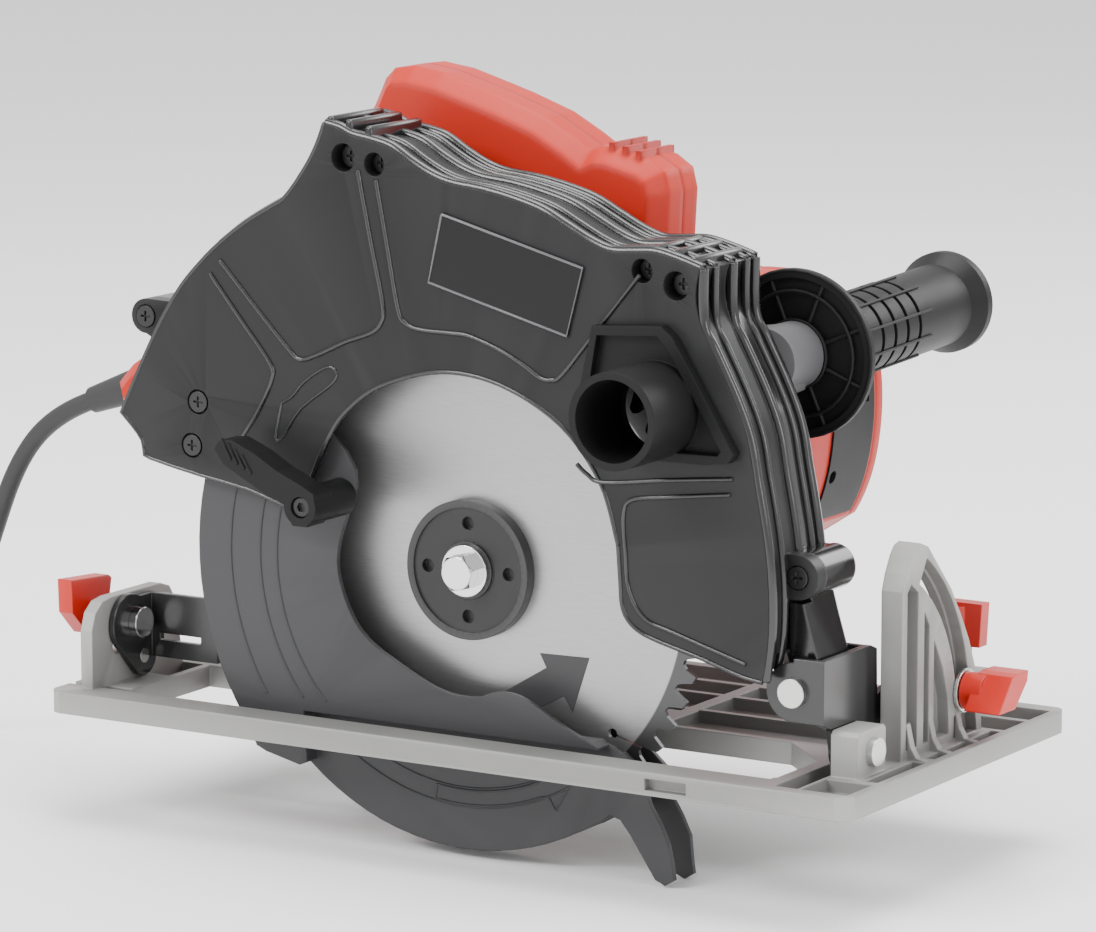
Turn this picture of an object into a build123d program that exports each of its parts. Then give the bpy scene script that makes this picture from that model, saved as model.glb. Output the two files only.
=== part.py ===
from build123d import *
import math
import os

os.makedirs("parts", exist_ok=True)

# ---------------------------------------------------------------------------
# Circular saw.  All numbers are millimetres.  The model is laid out about the
# saw spindle: X runs forward (cutting direction), Y runs from the blade to the
# motor, Z is up, and the blade's middle plane is Y = 0.  save() shifts every
# piece so that the row's origin is the middle of the bottom of the saw's box.
# ---------------------------------------------------------------------------
SPINDLE_AT = (3.00, -62.50, 114.50)   # spindle centre in the row frame

# blade
BLADE_R = 105.0
BLADE_T = 2.0
BLADE_BORE_R = 15.0
TEETH = 60

# sole
SOLE_Z = -70.6          # underside of the sole below the spindle
SOLE_T = 4.0
RIM_H = 9.0
BASE_X0, BASE_X1 = -178.5, 187.0
BASE_Y0, BASE_Y1 = -40.0, 143.0
SLOT_X0, SLOT_X1 = -150.0, 147.0
SLOT_Y0, SLOT_Y1 = -22.0, 33.0

# bevel hinge, axis along X
BEV_Y, BEV_Z = 2.0, -53.0
BEV_SLOT_R = 74.0
BEV_REST_DEG = 7.9
SECT_X0, SECT_X1 = 166.0, 175.0

# depth hinge, axis along Y
PIV_X, PIV_Z = 150.0, -30.0

# guards
GUARD_NEAR_Y = -23.0
GUARD_FAR_Y = 20.0
GUARD_SEAM_Y = -1.0
CAVITY_R = 121.8
LG_WIDE_R = 119.5
LG_NARROW_R = 110.7
LG_NEAR_WIDE_Y = -17.0
LG_NEAR_NARROW_Y = -9.4
LG_FAR_Y = 9.4
WALL = 2.2

# gear train
MODULE = 1.5
GEAR_T = 48
PINION_T = 12
GEAR_CENTRE = MODULE * (GEAR_T + PINION_T) / 2.0
MOTOR_DIR = math.atan2(35.2, 28.1)
MX, MZ = GEAR_CENTRE * math.cos(MOTOR_DIR), GEAR_CENTRE * math.sin(MOTOR_DIR)

# motor
MOTOR_Y0, MOTOR_Y1, CAP_Y1 = 48.0, 172.0, 182.0

# handle
HN_Y, HM_Y, HF_Y = 38.0, 57.0, 76.0

# side handle
SH_X, SH_Z, SH_TILT = 117.4, 88.0, 2.2
SH_DISC_Y = 43.0
SH_END_Y = 173.0

# dust port
DP_X, DP_Z = 95.4, 74.2
DP_R_OUT, DP_R_IN = 18.6, 15.7
DP_MOUTH_Y = -57.0

# cord
CORD_D = 8.0
FLOOR_Z = -SPINDLE_AT[2]


# ---------------------------------------------------------------------------
# helpers
# ---------------------------------------------------------------------------
def save(name, *shapes):
    solids = []
    for s in shapes:
        solids += list(s.solids())
    moved = [s.moved(Location(SPINDLE_AT)) for s in solids]
    out = moved[0] if len(moved) == 1 else Compound(children=moved)
    export_step(out, "parts/" + name + ".step")


def cyl_y(x, z, r, y0, y1):
    return Solid.make_cylinder(r, y1 - y0, Plane(origin=(x, y0, z), z_dir=(0, 1, 0)))


def cyl_x(y, z, r, x0, x1):
    return Solid.make_cylinder(r, x1 - x0, Plane(origin=(x0, y, z), z_dir=(1, 0, 0)))


def cyl_z(x, y, r, z0, z1):
    return Solid.make_cylinder(r, z1 - z0, Plane(origin=(x, y, z0), z_dir=(0, 0, 1)))


def cone_y(x, z, r0, r1, y0, y1):
    return Solid.make_cone(r0, r1, y1 - y0, Plane(origin=(x, y0, z), z_dir=(0, 1, 0)))


def box(x0, x1, y0, y1, z0, z1):
    return Solid.make_box(x1 - x0, y1 - y0, z1 - z0, Plane(origin=(x0, y0, z0)))


def loop_xz(y, *segs):
    """Closed wire in a plane Y = y.  A segment is ('L', pts) or ('S', pts);
    each starts at the last point of the one before."""
    edges = []
    for kind, pts in segs:
        p = [Vector(a, y, b) for a, b in pts]
        if kind == "S":
            edges.append(Edge.make_spline(p))
        else:
            edges += [Edge.make_line(a, b) for a, b in zip(p, p[1:])]
    return Wire(edges)


def prism_y(y0, y1, *segs):
    f = Face(loop_xz(y0, *segs))
    return extrude(f, amount=y1 - y0, dir=(0, 1, 0)).solid()


def poly_y(pts, y0, y1):
    return prism_y(y0, y1, ("L", list(pts) + [pts[0]]))


def poly_x(pts, x0, x1):
    """Prism along X of a polygon of (y, z) points."""
    p = [Vector(x0, a, b) for a, b in pts]
    f = Face(Wire.make_polygon(p))
    return extrude(f, amount=x1 - x0, dir=(1, 0, 0)).solid()


def poly_z(pts, z0, z1):
    p = [Vector(a, b, z0) for a, b in pts]
    f = Face(Wire.make_polygon(p))
    return extrude(f, amount=z1 - z0, dir=(0, 0, 1)).solid()


def polar(r, deg):
    t = math.radians(deg)
    return (r * math.cos(t), r * math.sin(t))


def arc_pts(cx, cz, r, d0, d1, n):
    return [
        (cx + r * math.cos(math.radians(d0 + (d1 - d0) * i / n)),
         cz + r * math.sin(math.radians(d0 + (d1 - d0) * i / n)))
        for i in range(n + 1)
    ]


def fuse(first, *rest):
    out = first
    for s in rest:
        out = out + s
    return out


def one(shape):
    """The largest solid of a boolean's result."""
    return max(shape.solids(), key=lambda s: s.volume)


# ---------------------------------------------------------------------------
# outlines of the blade guard (x, z)
# ---------------------------------------------------------------------------
TAIL = [(-152.6, 51.6), (-143.0, 71.0), (-133.0, 89.4), (-123.1, 104.2),
        (-113.3, 114.8), (-104.6, 122.6), (-94.1, 130.4), (-84.6, 136.2),
        (-74.6, 141.6)]
RISE = [(-74.6, 141.6), (-70.3, 146.2), (-65.6, 152.3), (-60.9, 159.2),
        (-57.1, 166.5), (-54.6, 172.9)]
CREST = [(-54.6, 172.9), (-48.0, 171.6), (-42.2, 169.3), (-32.1, 167.6),
         (-23.9, 165.4), (-14.8, 160.2), (-5.7, 155.8), (3.3, 153.3),
         (16.8, 151.8), (30.2, 149.3), (43.6, 145.6), (54.6, 140.3),
         (65.6, 135.0), (74.4, 132.4), (85.3, 132.9), (94.0, 133.2),
         (104.8, 130.8), (113.4, 128.2)]
FRONT = [(113.4, 128.2), (113.8, 107.5), (118.7, 98.0), (128.0, 80.5),
         (134.0, 66.0), (137.0, 51.0), (140.0, 36.0), (142.4, 21.2),
         (143.6, 6.1), (143.4, -9.1), (141.0, -25.7)]
NEAR_TOE = [(141.0, -25.7), (131.5, -24.2), (114.2, -19.2), (96.7, -14.9),
            (88.0, -12.0), (82.7, -8.0), (80.0, -2.4), (79.2, 7.2),
            (78.2, 20.5)]
OPENING = [(78.2, 20.5), (70.2, 44.0), (52.5, 64.4), (25.7, 77.5), (-1.5, 80.3),
           (-29.1, 72.5), (-45.4, 60.9), (-54.0, 49.0), (-62.0, 32.5),
           (-66.8, 22.1)]
HEEL = [(-66.8, 22.1), (-71.6, 20.4), (-90.5, 25.8), (-114.5, 29.6),
        (-138.7, 34.2), (-141.6, 36.4), (-142.5, 41.2), (-147.3, 46.8),
        (-152.6, 51.6)]
FAR_TOE = [(141.0, -25.7), (128.0, -24.0), (104.0, -18.0), (82.0, -12.0),
           (46.0, -12.0)] + arc_pts(0, 0, 44.5, -16, -164, 12)[1:-1] + [
           (-46.0, -12.0), (-66.8, 14.0), (-71.6, 20.4)]
FAR_HEEL = [(-71.6, 20.4), (-90.5, 25.8), (-114.5, 29.6), (-138.7, 34.2),
            (-141.6, 36.4), (-142.5, 41.2), (-147.3, 46.8), (-152.6, 51.6)]

NEAR_SEGS = (("S", TAIL), ("S", RISE), ("S", CREST), ("S", FRONT),
             ("S", NEAR_TOE), ("S", OPENING), ("L", HEEL))
FAR_SEGS = (("S", TAIL), ("S", RISE), ("S", CREST), ("S", FRONT),
            ("L", FAR_TOE), ("L", FAR_HEEL))

# cover screws: x, z, counterbore radius, counterbore depth
COVER_SCREWS = [(-45.5, 160.4, 5.5, 8.0), (-31.3, 158.6, 4.6, 8.0),
                (88.4, 126.0, 4.6, 8.0), (103.1, 121.4, 5.5, 8.0),
                (-115.1, 58.9, 5.0, 2.4), (-118.2, 41.2, 5.0, 2.4)]
FRONT_LUG = (147.6, 12.4)
REAR_LUG = (-150.5, 88.6)


def upper_guard():
    # near half: face plate, rim wall and the raised frame round the dust port
    near = prism_y(GUARD_NEAR_Y, GUARD_SEAM_Y, *NEAR_SEGS)
    near = near - cyl_y(0, 0, CAVITY_R, GUARD_NEAR_Y + 3.0, GUARD_SEAM_Y + 1)
    # hollow corner pockets behind the face
    near = near - poly_y([(-60, 150), (-28, 146), (4, 143), (22, 141), (4, 134),
                          (-28, 132), (-52, 128)], -19.5, GUARD_SEAM_Y + 1)
    # bracket room at the front foot
    near = near - cyl_y(PIV_X, PIV_Z, 16.0, -19.5, GUARD_SEAM_Y + 1)
    near = near - cyl_y(DP_X, DP_Z, DP_R_IN + 0.05, -24, -19)
    # joint lugs
    near = near + fuse(cyl_y(*FRONT_LUG, 8.6, -8.0, GUARD_SEAM_Y),
                       box(134, 147.6, -8.0, GUARD_SEAM_Y, 3.8, 21.0))
    near = near + fuse(cyl_y(*REAR_LUG, 7.0, -8.0, GUARD_SEAM_Y),
                       poly_y([(-150.5, 95.6), (-150.5, 81.6), (-138, 75), (-127, 95)],
                              -8.0, GUARD_SEAM_Y))
    near = near - cyl_y(0, 0, CAVITY_R, GUARD_NEAR_Y + 3.0, GUARD_SEAM_Y + 1)
    for x, z, r, d in COVER_SCREWS:
        near = near - cyl_y(x, z, r, GUARD_NEAR_Y - 1, GUARD_NEAR_Y + d)
        near = near - cyl_y(x, z, 2.3, GUARD_NEAR_Y, GUARD_SEAM_Y + 1)
    for x, z in (FRONT_LUG, REAR_LUG):
        near = near - cyl_y(x, z, 2.3, -9, GUARD_SEAM_Y + 1)
        near = near - cyl_y(x, z, 4.6, -9, -6.0)
    save("upper_guard_cover", one(near))

    # far half: rim wall, back plate with the spindle boss, pivot ear
    far = prism_y(GUARD_SEAM_Y, GUARD_FAR_Y, *FAR_SEGS)
    far = far - cyl_y(0, 0, CAVITY_R, GUARD_SEAM_Y - 1, GUARD_FAR_Y - 3.0)
    far = far - poly_y([(-60, 150), (-28, 146), (4, 143), (22, 141), (4, 134),
                        (-28, 132), (-52, 128)], GUARD_SEAM_Y - 1, 16.0)
    far = far - cyl_y(PIV_X, PIV_Z, 16.0, GUARD_SEAM_Y - 1, 21)
    # pivot ear between the cheeks of the front bracket
    ear = poly_y([(134, 8), (147.5, 12), (152.0, -4), (157.5, -22), (158.9, -30),
                  (150, -39), (141.1, -30), (140.5, -22), (136, -8)], -8.0, 16.4)
    ear = ear + cyl_y(PIV_X, PIV_Z, 9.0, -11.6, 18.4)
    ear = ear - box(130, 144.4, -9, GUARD_SEAM_Y, -27, 14)
    ear = ear - box(130, 158, -9, GUARD_SEAM_Y, 2.5, 22)
    far = far + ear
    far = far - cyl_y(PIV_X, PIV_Z, 4.05, -13, 21)
    far = far + cyl_y(0, 0, 23.9, 7.6, 18.0)
    far = far - cyl_y(0, 0, 16.0, 6, 21)
    far = far + fuse(cyl_y(*FRONT_LUG, 8.6, GUARD_SEAM_Y, 22.0),
                     box(134, 147.6, GUARD_SEAM_Y, 20.0, 3.8, 21.0))
    far = far + fuse(cyl_y(*REAR_LUG, 7.0, GUARD_SEAM_Y, 12.0),
                     poly_y([(-150.5, 95.6), (-150.5, 81.6), (-138, 75), (-127, 95)],
                            GUARD_SEAM_Y, 12.0))
    far = far - cyl_y(0, 0, CAVITY_R, GUARD_SEAM_Y - 1, 7.6)
    for x, z, r, d in COVER_SCREWS:
        far = far - cyl_y(x, z, 2.0, GUARD_SEAM_Y - 1, 10.0)
    for x, z in (FRONT_LUG, REAR_LUG):
        far = far - cyl_y(x, z, 2.0, GUARD_SEAM_Y - 1, 10.0)
    # threaded seat for the depth lock bolt
    far = far - cyl_y(LOCK_X, LOCK_Z, 3.0, 8.0, 21)
    save("upper_guard_housing", one(far))

    # screws that close the guard
    def screw(x, z, y_head, r_head, y_tip):
        s = cyl_y(x, z, r_head, y_head, y_head + 2.4)
        s = s + cyl_y(x, z, 1.95, y_head + 2.4, y_tip)
        s = s - box(x - 2.2, x + 2.2, y_head - 1, y_head + 1.0, z - 0.45, z + 0.45)
        s = s - box(x - 0.45, x + 0.45, y_head - 1, y_head + 1.0, z - 2.2, z + 2.2)
        return s
    save("guard_screws", *[
        screw(x, z, GUARD_NEAR_Y + d - 2.4 if d > 3 else GUARD_NEAR_Y + 0.0,
              min(r - 0.6, 4.2), 9.0) for x, z, r, d in COVER_SCREWS],
        *[screw(x, z, -8.4, 4.3, 9.0) for x, z in (FRONT_LUG, REAR_LUG)])

    # dust port: raised five-sided frame with the suction tube
    frame_out = [(69.5, 104.5), (99.5, 106.5), (104.5, 102.5), (131.0, 60.5),
                 (128.5, 57.0), (118.0, 55.6), (70.0, 55.0), (66.0, 60.0), (64.0, 80.0)]
    frame_in = [(71.5, 101.0), (98.0, 102.5), (101.5, 99.0), (125.5, 61.5),
                (124.0, 59.5), (72.0, 58.5), (69.5, 62.0), (68.0, 80.0)]
    port = poly_y(frame_out, -28.0, GUARD_NEAR_Y)
    port = port - poly_y(frame_in, -29.0, -24.5)
    port = port + cyl_y(DP_X, DP_Z, DP_R_OUT, DP_MOUTH_Y, -24.0)
    port = port - cyl_y(DP_X, DP_Z, DP_R_IN, DP_MOUTH_Y - 1, -22.0)
    save("dust_port", one(port))

    plate = poly_y([(0.1, 141.5), (63.0, 125.3), (56.0, 98.8), (-5.9, 114.8)],
                   GUARD_NEAR_Y - 1.0, GUARD_NEAR_Y)
    save("label_plate", plate)


# ---------------------------------------------------------------------------
# lower guard
# ---------------------------------------------------------------------------
LG_A0, LG_A1 = 138.0, 319.0     # covered sector, degrees counter-clockwise from +X
LEVER_HUB = (-51.5, 26.0)


def lower_guard():
    a0, a1 = LG_A0, LG_A1

    def sector(r, y0, y1, d0, d1):
        pts = [(0.0, 0.0)] + arc_pts(0, 0, r, d0, d1, max(6, int(abs(d1 - d0) / 4)))
        return poly_y(pts, y0, y1)

    chord_z = -58.0
    # wide part, above the chord
    wide = sector(LG_WIDE_R, LG_NEAR_WIDE_Y, LG_FAR_Y, a0, 215)
    wide = wide + poly_y([(0, 0), polar(LG_WIDE_R, 214), (-99.5, chord_z - 4), (66, -62),
                          (66.5, -56)], LG_NEAR_WIDE_Y, LG_FAR_Y)
    # slanted lug that ends the wide rim below the sole
    wide = wide + poly_y([polar(LG_WIDE_R, 208), polar(LG_WIDE_R, 214), (-92.5, -78.6),
                          (-88.0, -80.5), (-71.9, -84.2), (-68.5, -82.5), (-70, -62)],
                         LG_NEAR_WIDE_Y, LG_NEAR_WIDE_Y + 10)
    narrow = sector(LG_NARROW_R, LG_NEAR_NARROW_Y, LG_FAR_Y, 205, a1)
    outer = wide + narrow
    # inside space for the blade
    inner_w = sector(LG_WIDE_R - WALL, LG_NEAR_WIDE_Y + WALL, LG_FAR_Y - WALL, a0 - 3, 213.5)
    inner_w = inner_w + poly_y([(0, 0), polar(LG_WIDE_R - WALL, 212.5),
                                (-97.5, chord_z - 1.5), (66, -59.5), (70, -54)],
                               LG_NEAR_WIDE_Y + WALL, LG_FAR_Y - WALL)
    inner_n = sector(LG_NARROW_R - WALL, LG_NEAR_NARROW_Y + WALL, LG_FAR_Y - WALL,
                     150, a1 + 4)
    outer = outer - inner_w - inner_n
    # open side that shows the blade
    open_side = [(-54.1, 52.1), (-50.0, 45.0), (-44.9, 37.1), (-44.6, 31.0), (-46.3, 25.1),
                 (-51.1, 12.7), (-53.6, 0.4), (-49.9, -15.2), (-43.0, -26.5),
                 (-24.3, -38.4), (-5.8, -46.3), (12.6, -47.0), (30.8, -44.9),
                 (48.9, -53.8), (66.8, -61.5), (71.3, -63.8)]
    window = prism_y(-30, LG_FAR_Y - WALL,
                     ("L", [(-54.1, 52.1)] + open_side[1:5]),
                     ("S", open_side[4:12]), ("S", open_side[11:]),
                     ("L", [(71.3, -63.8), (140, -40), (140, 140), (-60, 140), (-54.1, 52.1)]))
    outer = outer - window
    # back web: keep the disc round the hub
    outer = outer + cyl_y(0, 0, 32.0, LG_FAR_Y - WALL, LG_FAR_Y)
    outer = outer + cyl_y(0, 0, 29.5, LG_FAR_Y - 0.5, 16.4)
    outer = outer - cyl_y(0, 0, 23.97, 0, 20)
    # front tooth, near and far prongs
    prong_n = [(53.3, -97.2), (62.3, -92.0), (66.8, -88.9), (71.3, -90.1), (75.8, -95.5),
               (80.3, -102.0), (87.0, -111.8), (91.4, -113.6), (95.4, -111.1),
               (94.5, -104.9), (92.7, -97.2), (89.1, -89.8), (84.6, -82.5),
               (82.4, -76.5), (72.5, -66.5), (64.0, -72.0), (50.0, -90.0)]
    prong_f = [(x - 1.0, z - 0.9) if z < -100 else (x, z) for x, z in prong_n]
    outer = outer + poly_y(prong_n, LG_NEAR_NARROW_Y, LG_NEAR_NARROW_Y + WALL)
    outer = outer + poly_y(prong_f, LG_FAR_Y - WALL, LG_FAR_Y)
    # boss for the lever screw
    outer = outer + cyl_y(*LEVER_HUB, 6.2, LG_NEAR_WIDE_Y, LG_NEAR_WIDE_Y + WALL)
    outer = outer - cyl_y(*LEVER_HUB, 2.0, -20, -10)
    save("lower_guard", one(outer))

    hub = cyl_y(*LEVER_HUB, 7.4, -46.0, LG_NEAR_WIDE_Y)
    arm = poly_y([(-89, 49.2), (-91.5, 45.5), (-87.2, 39.7), (-69.4, 30.6), (-59.0, 26.5),
                  (-55.0, 18.6), (-48.2, 18.6), (-44.4, 25.5), (-45.0, 31.6), (-49.7, 34.2),
                  (-62.2, 39.4), (-73.0, 45.4), (-83.3, 49.6)], -46.0, -34.0)
    lever = hub + arm
    lever = lever - cyl_y(*LEVER_HUB, 4.2, -47, -42.0)
    lever = lever - cyl_y(*LEVER_HUB, 2.2, -47, -10)
    save("guard_lever", one(lever))
    s = cyl_y(*LEVER_HUB, 3.8, -45.0, -42.0) + cyl_y(*LEVER_HUB, 1.95, -42.0, -14.8)
    s = s - Solid.extrude(Face(Wire.make_polygon(
        [Vector(LEVER_HUB[0] + 2.0 * math.cos(math.radians(60 * k)), -46,
                LEVER_HUB[1] + 2.0 * math.sin(math.radians(60 * k))) for k in range(6)])),
        Vector(0, 2.6, 0))
    save("guard_lever_screw", s)

    # return spring: two turns round the guard's hub
    helix = Wire([Edge.make_helix(2.0, 4.0, 32.2, center=(0, 10.9, 0), normal=(0, 1, 0))])
    start = helix.edges()[0] @ 0
    tangent = helix.edges()[0] % 0
    prof = Face(Wire([Edge.make_circle(0.7, Plane(origin=start, z_dir=tangent))]))
    spring = sweep(prof, path=helix, is_frenet=True)
    save("guard_return_spring", spring)


# ---------------------------------------------------------------------------
# blade, flanges, spindle, gears
# ---------------------------------------------------------------------------
def blade_set():
    step = 360.0 / TEETH
    outline = []
    for k in range(TEETH):
        a = k * step
        outline += [polar(BLADE_R - 6.6, a - 3.6), polar(BLADE_R - 5.4, a - 3.0),
                    polar(BLADE_R - 0.8, a - 1.7), polar(BLADE_R, a),
                    polar(BLADE_R - 5.2, a + 0.55), polar(BLADE_R - 6.8, a + 1.3)]
    b = poly_y(outline, -BLADE_T / 2, BLADE_T / 2)
    b = b - cyl_y(0, 0, BLADE_BORE_R, -5, 5)
    for k in range(4):
        a = -43.0 + 90.0 * k
        c = polar(86.0, a)
        b = b - cyl_y(c[0], c[1], 2.0, -5, 5)
        p0, p1 = polar(86.0, a), polar(110.0, a + 6.0)
        d = Vector(p1[0] - p0[0], 0, p1[1] - p0[1]).normalized()
        n = (-d.Z * 0.35, d.X * 0.35)
        b = b - poly_y([(p0[0] + n[0], p0[1] + n[1]), (p1[0] + n[0], p1[1] + n[1]),
                        (p1[0] - n[0], p1[1] - n[1]), (p0[0] - n[0], p0[1] - n[1])], -5, 5)
    save("saw_blade", one(b))

    inner = cyl_y(0, 0, 27.0, BLADE_T / 2, 6.2) + cyl_y(0, 0, BLADE_BORE_R - 0.05,
                                                      -BLADE_T / 2 + 0.2, BLADE_T / 2)
    inner = inner - cyl_y(0, 0, 8.0, -5, 10)
    save("inner_flange", inner)

    outer = cyl_y(0, 0, 27.6, -5.6, -BLADE_T / 2)
    outer = outer + (cyl_y(0, 0, 27.6, -6.5, -5.6) - cyl_y(0, 0, 24.6, -7, -5.6))
    outer = outer + cyl_y(0, 0, 11.5, -6.8, -5.6)
    outer = outer - cyl_y(0, 0, 4.2, -10, 5)
    for k in range(4):
        c = polar(18.5, 45 * (2 * k) + 0)
        outer = outer - cyl_y(c[0], c[1], 2.6, -10, -3.0)
    save("outer_flange", one(outer))

    spindle = cyl_y(0, 0, 8.0, -0.8, 46.0)
    spindle = spindle + cyl_y(0, 0, 11.0, 18.2, 27.6)
    spindle = spindle - cyl_y(0, 0, 4.0, -2, 17)
    save("spindle", spindle)

    bolt = cyl_y(0, 0, 10.2, -8.6, -6.8) + poly_y(
        [polar(7.5, 60 * k + 12) for k in range(6)], -14.6, -8.6)
    bolt = bolt & cone_y(0, 0, 6.3, 16.0, -14.7, -5.0)
    bolt = bolt + cyl_y(0, 0, 4.0, -8.6, 16.5)
    save("arbor_bolt", one(bolt))

    save("spindle_bearings",
         cyl_y(0, 0, 16.0, 9.0, 18.0) - cyl_y(0, 0, 8.0, 8, 19),
         cyl_y(0, 0, 13.0, 38.6, 45.4) - cyl_y(0, 0, 8.0, 38, 46))


def gear_outline(teeth, phase, add, ded, slack):
    """Trapezoid-flank approximation of an involute gear, points (x, z)."""
    rp = MODULE * teeth / 2.0
    ra, rf = rp + add, rp - ded
    rb = rp * math.cos(math.radians(20))

    def inv(r):
        if r <= rb:
            return 0.0
        c = rb / r
        al = math.acos(c)
        return math.tan(al) - al

    half = math.pi / (2 * teeth) - slack / (2 * rp)
    out = []
    for k in range(teeth):
        c = phase + 2 * math.pi * k / teeth
        rs = [rf, max(rb, rf), (max(rb, rf) + ra) / 2, ra]
        side = [(r, half + inv(rp) - inv(r)) for r in rs]
        pts = [(r, c - t) for r, t in side] + [(r, c + t) for r, t in reversed(side)]
        for r, t in pts:
            out.append((r * math.cos(t), r * math.sin(t)))
    res = [out[0]]
    for p in out[1:]:
        if math.dist(p, res[-1]) > 0.02:
            res.append(p)
    return res


def gears_and_motor():
    line = math.degrees(MOTOR_DIR)
    # a tooth of the driven gear points at the pinion, and a gap of the pinion back at it
    g = poly_y(gear_outline(GEAR_T, math.radians(line), 0.85 * MODULE, 1.1 * MODULE, 0.16),
               29.0, 37.0)
    g = g + cyl_y(0, 0, 14.0, 27.8, 38.0)
    g = g - cyl_y(0, 0, 8.0, 20, 50)
    for k in range(6):
        c = polar(25.5, 45 + 60 * k)
        g = g - cyl_y(c[0], c[1], 4.2, 20, 50)
    save("driven_gear", one(g))

    pin_phase = math.radians(line) + math.pi + math.pi / PINION_T
    raw = gear_outline(PINION_T, pin_phase, 0.85 * MODULE, 1.1 * MODULE, 0.16)
    raw = [(x + MX, z + MZ) for x, z in raw]
    pinion = poly_y(raw, 28.0, 38.0)
    shaft = cyl_y(MX, MZ, 5.0, 38.0, 166.0)
    save("armature_shaft", one(pinion + shaft))

    core = cyl_y(MX, MZ, 23.5, 74.0, 122.0)
    for k in range(12):
        a = math.radians(30 * k)
        c = (MX + 22.6 * math.cos(a), MZ + 22.6 * math.sin(a))
        core = core - cyl_y(c[0], c[1], 1.6, 70, 126)
    core = core - cyl_y(MX, MZ, 5.0, 60, 130)
    save("armature_core", one(core))
    wind = cyl_y(MX, MZ, 19.5, 66.0, 74.0) - cyl_y(MX, MZ, 5.0, 60, 80)
    wind2 = cyl_y(MX, MZ, 19.5, 122.0, 131.0) - cyl_y(MX, MZ, 5.0, 100, 140)
    save("armature_windings", wind, wind2)
    com = cyl_y(MX, MZ, 13.0, 136.0, 152.0) - cyl_y(MX, MZ, 5.0, 130, 160)
    for k in range(18):
        a = math.radians(20 * k)
        c = (MX + 13.1 * math.cos(a), MZ + 13.1 * math.sin(a))
        com = com - cyl_y(c[0], c[1], 0.45, 130, 160)
    save("commutator", one(com))

    hub = cyl_y(MX, MZ, 9.0, 52.5, 62.0)
    disc = cyl_y(MX, MZ, 34.0, 60.2, 62.0)
    fan = hub + disc
    for k in range(11):
        a = math.radians(360 / 11 * k)
        blade = box(8.0, 33.0, 53.5, 60.5, -0.8, 0.8)
        blade = blade.rotate(Axis((0, 0, 0), (0, 1, 0)), -math.degrees(a))
        fan = fan + blade.moved(Location((MX, 0, MZ)))
    fan = fan - cyl_y(MX, MZ, 5.0, 50, 70)
    save("cooling_fan", one(fan))

    st = cyl_y(MX, MZ, 40.0, 74.0, 122.0) - cyl_y(MX, MZ, 33.5, 70, 126)
    for a in (90, 270):
        c = (MX + 27.5 * math.cos(math.radians(a)), MZ + 27.5 * math.sin(math.radians(a)))
        pole = box(c[0] - 15, c[0] + 15, 74.0, 122.0, c[1] - 10, c[1] + 10)
        pole = pole & cyl_y(MX, MZ, 34.0, 70, 126)
        st = st + pole
    st = st - cyl_y(MX, MZ, 24.3, 70, 126)
    save("stator_core", one(st))
    coils = []
    for sx in (-1, 1):
        for sz in (-1, 1):
            b = box(MX + sx * 23.5 - 5, MX + sx * 23.5 + 5, 68.0, 128.0,
                    MZ + sz * 14 - 5, MZ + sz * 14 + 5)
            b = b - cyl_y(MX, MZ, 24.3, 60, 130) - cyl_y(MX, MZ, 24.3, 60, 130)
            b = b & cyl_y(MX, MZ, 33.2, 60, 130)
            coils.append(one(b - box(MX - 15.3, MX + 15.3, 60, 130, MZ - 60, MZ + 60)))
    save("field_coils", *coils)

    save("motor_bearings",
         cyl_y(MX, MZ, 11.0, 42.0, 48.0) - cyl_y(MX, MZ, 5.12, 40, 50),
         cyl_y(MX, MZ, 11.0, 158.0, 165.0) - cyl_y(MX, MZ, 5.12, 150, 170))

    brushes, holders = [], []
    for s in (-1, 1):
        x0, x1 = (MX + 13.3, MX + 29) if s > 0 else (MX - 29, MX - 13.3)
        brushes.append(box(x0, x1, 141.0, 147.0, MZ - 4, MZ + 4))
        h0, h1 = (MX + 17, MX + 37) if s > 0 else (MX - 37, MX - 17)
        h = box(h0, h1, 138.6, 149.4, MZ - 6.4, MZ + 6.4)
        b0, b1 = (h0 - 1, MX + 33) if s > 0 else (MX - 33, h1 + 1)
        h = h - box(b0, b1, 141.0, 147.0, MZ - 4, MZ + 4)
        holders.append(h)
    save("carbon_brushes", *brushes)
    save("brush_holders", *holders)


# motor cross-section (x, z), rounded block with a flat underside
M_RIGHT = [(58.0, -8.0), (72.0, 1.0), (79.5, 17.0), (83.2, 34.0), (84.2, 50.0),
           (81.0, 72.0), (71.0, 89.0), (52.0, 98.0), (28.1, 99.5)]
M_LEFT = [(28.1, 99.5), (4.0, 98.0), (-13.0, 88.0), (-20.0, 70.0), (-22.0, 48.0),
          (-20.0, 24.0), (-12.0, 4.0), (0.0, -8.0)]


def m_profile(y0, y1, off=0.0, taper=None):
    def shift(pts):
        out = []
        for x, z in pts:
            dx, dz = x - 31.0, z - 45.0
            d = math.hypot(dx, dz)
            out.append((x + dx / d * off, z + dz / d * off))
        return out
    r, l = shift(M_RIGHT), shift(M_LEFT)
    return prism_y(y0, y1, ("L", r[:2]), ("S", r[1:]), ("S", l), ("L", [l[-1], r[0]]))


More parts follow.
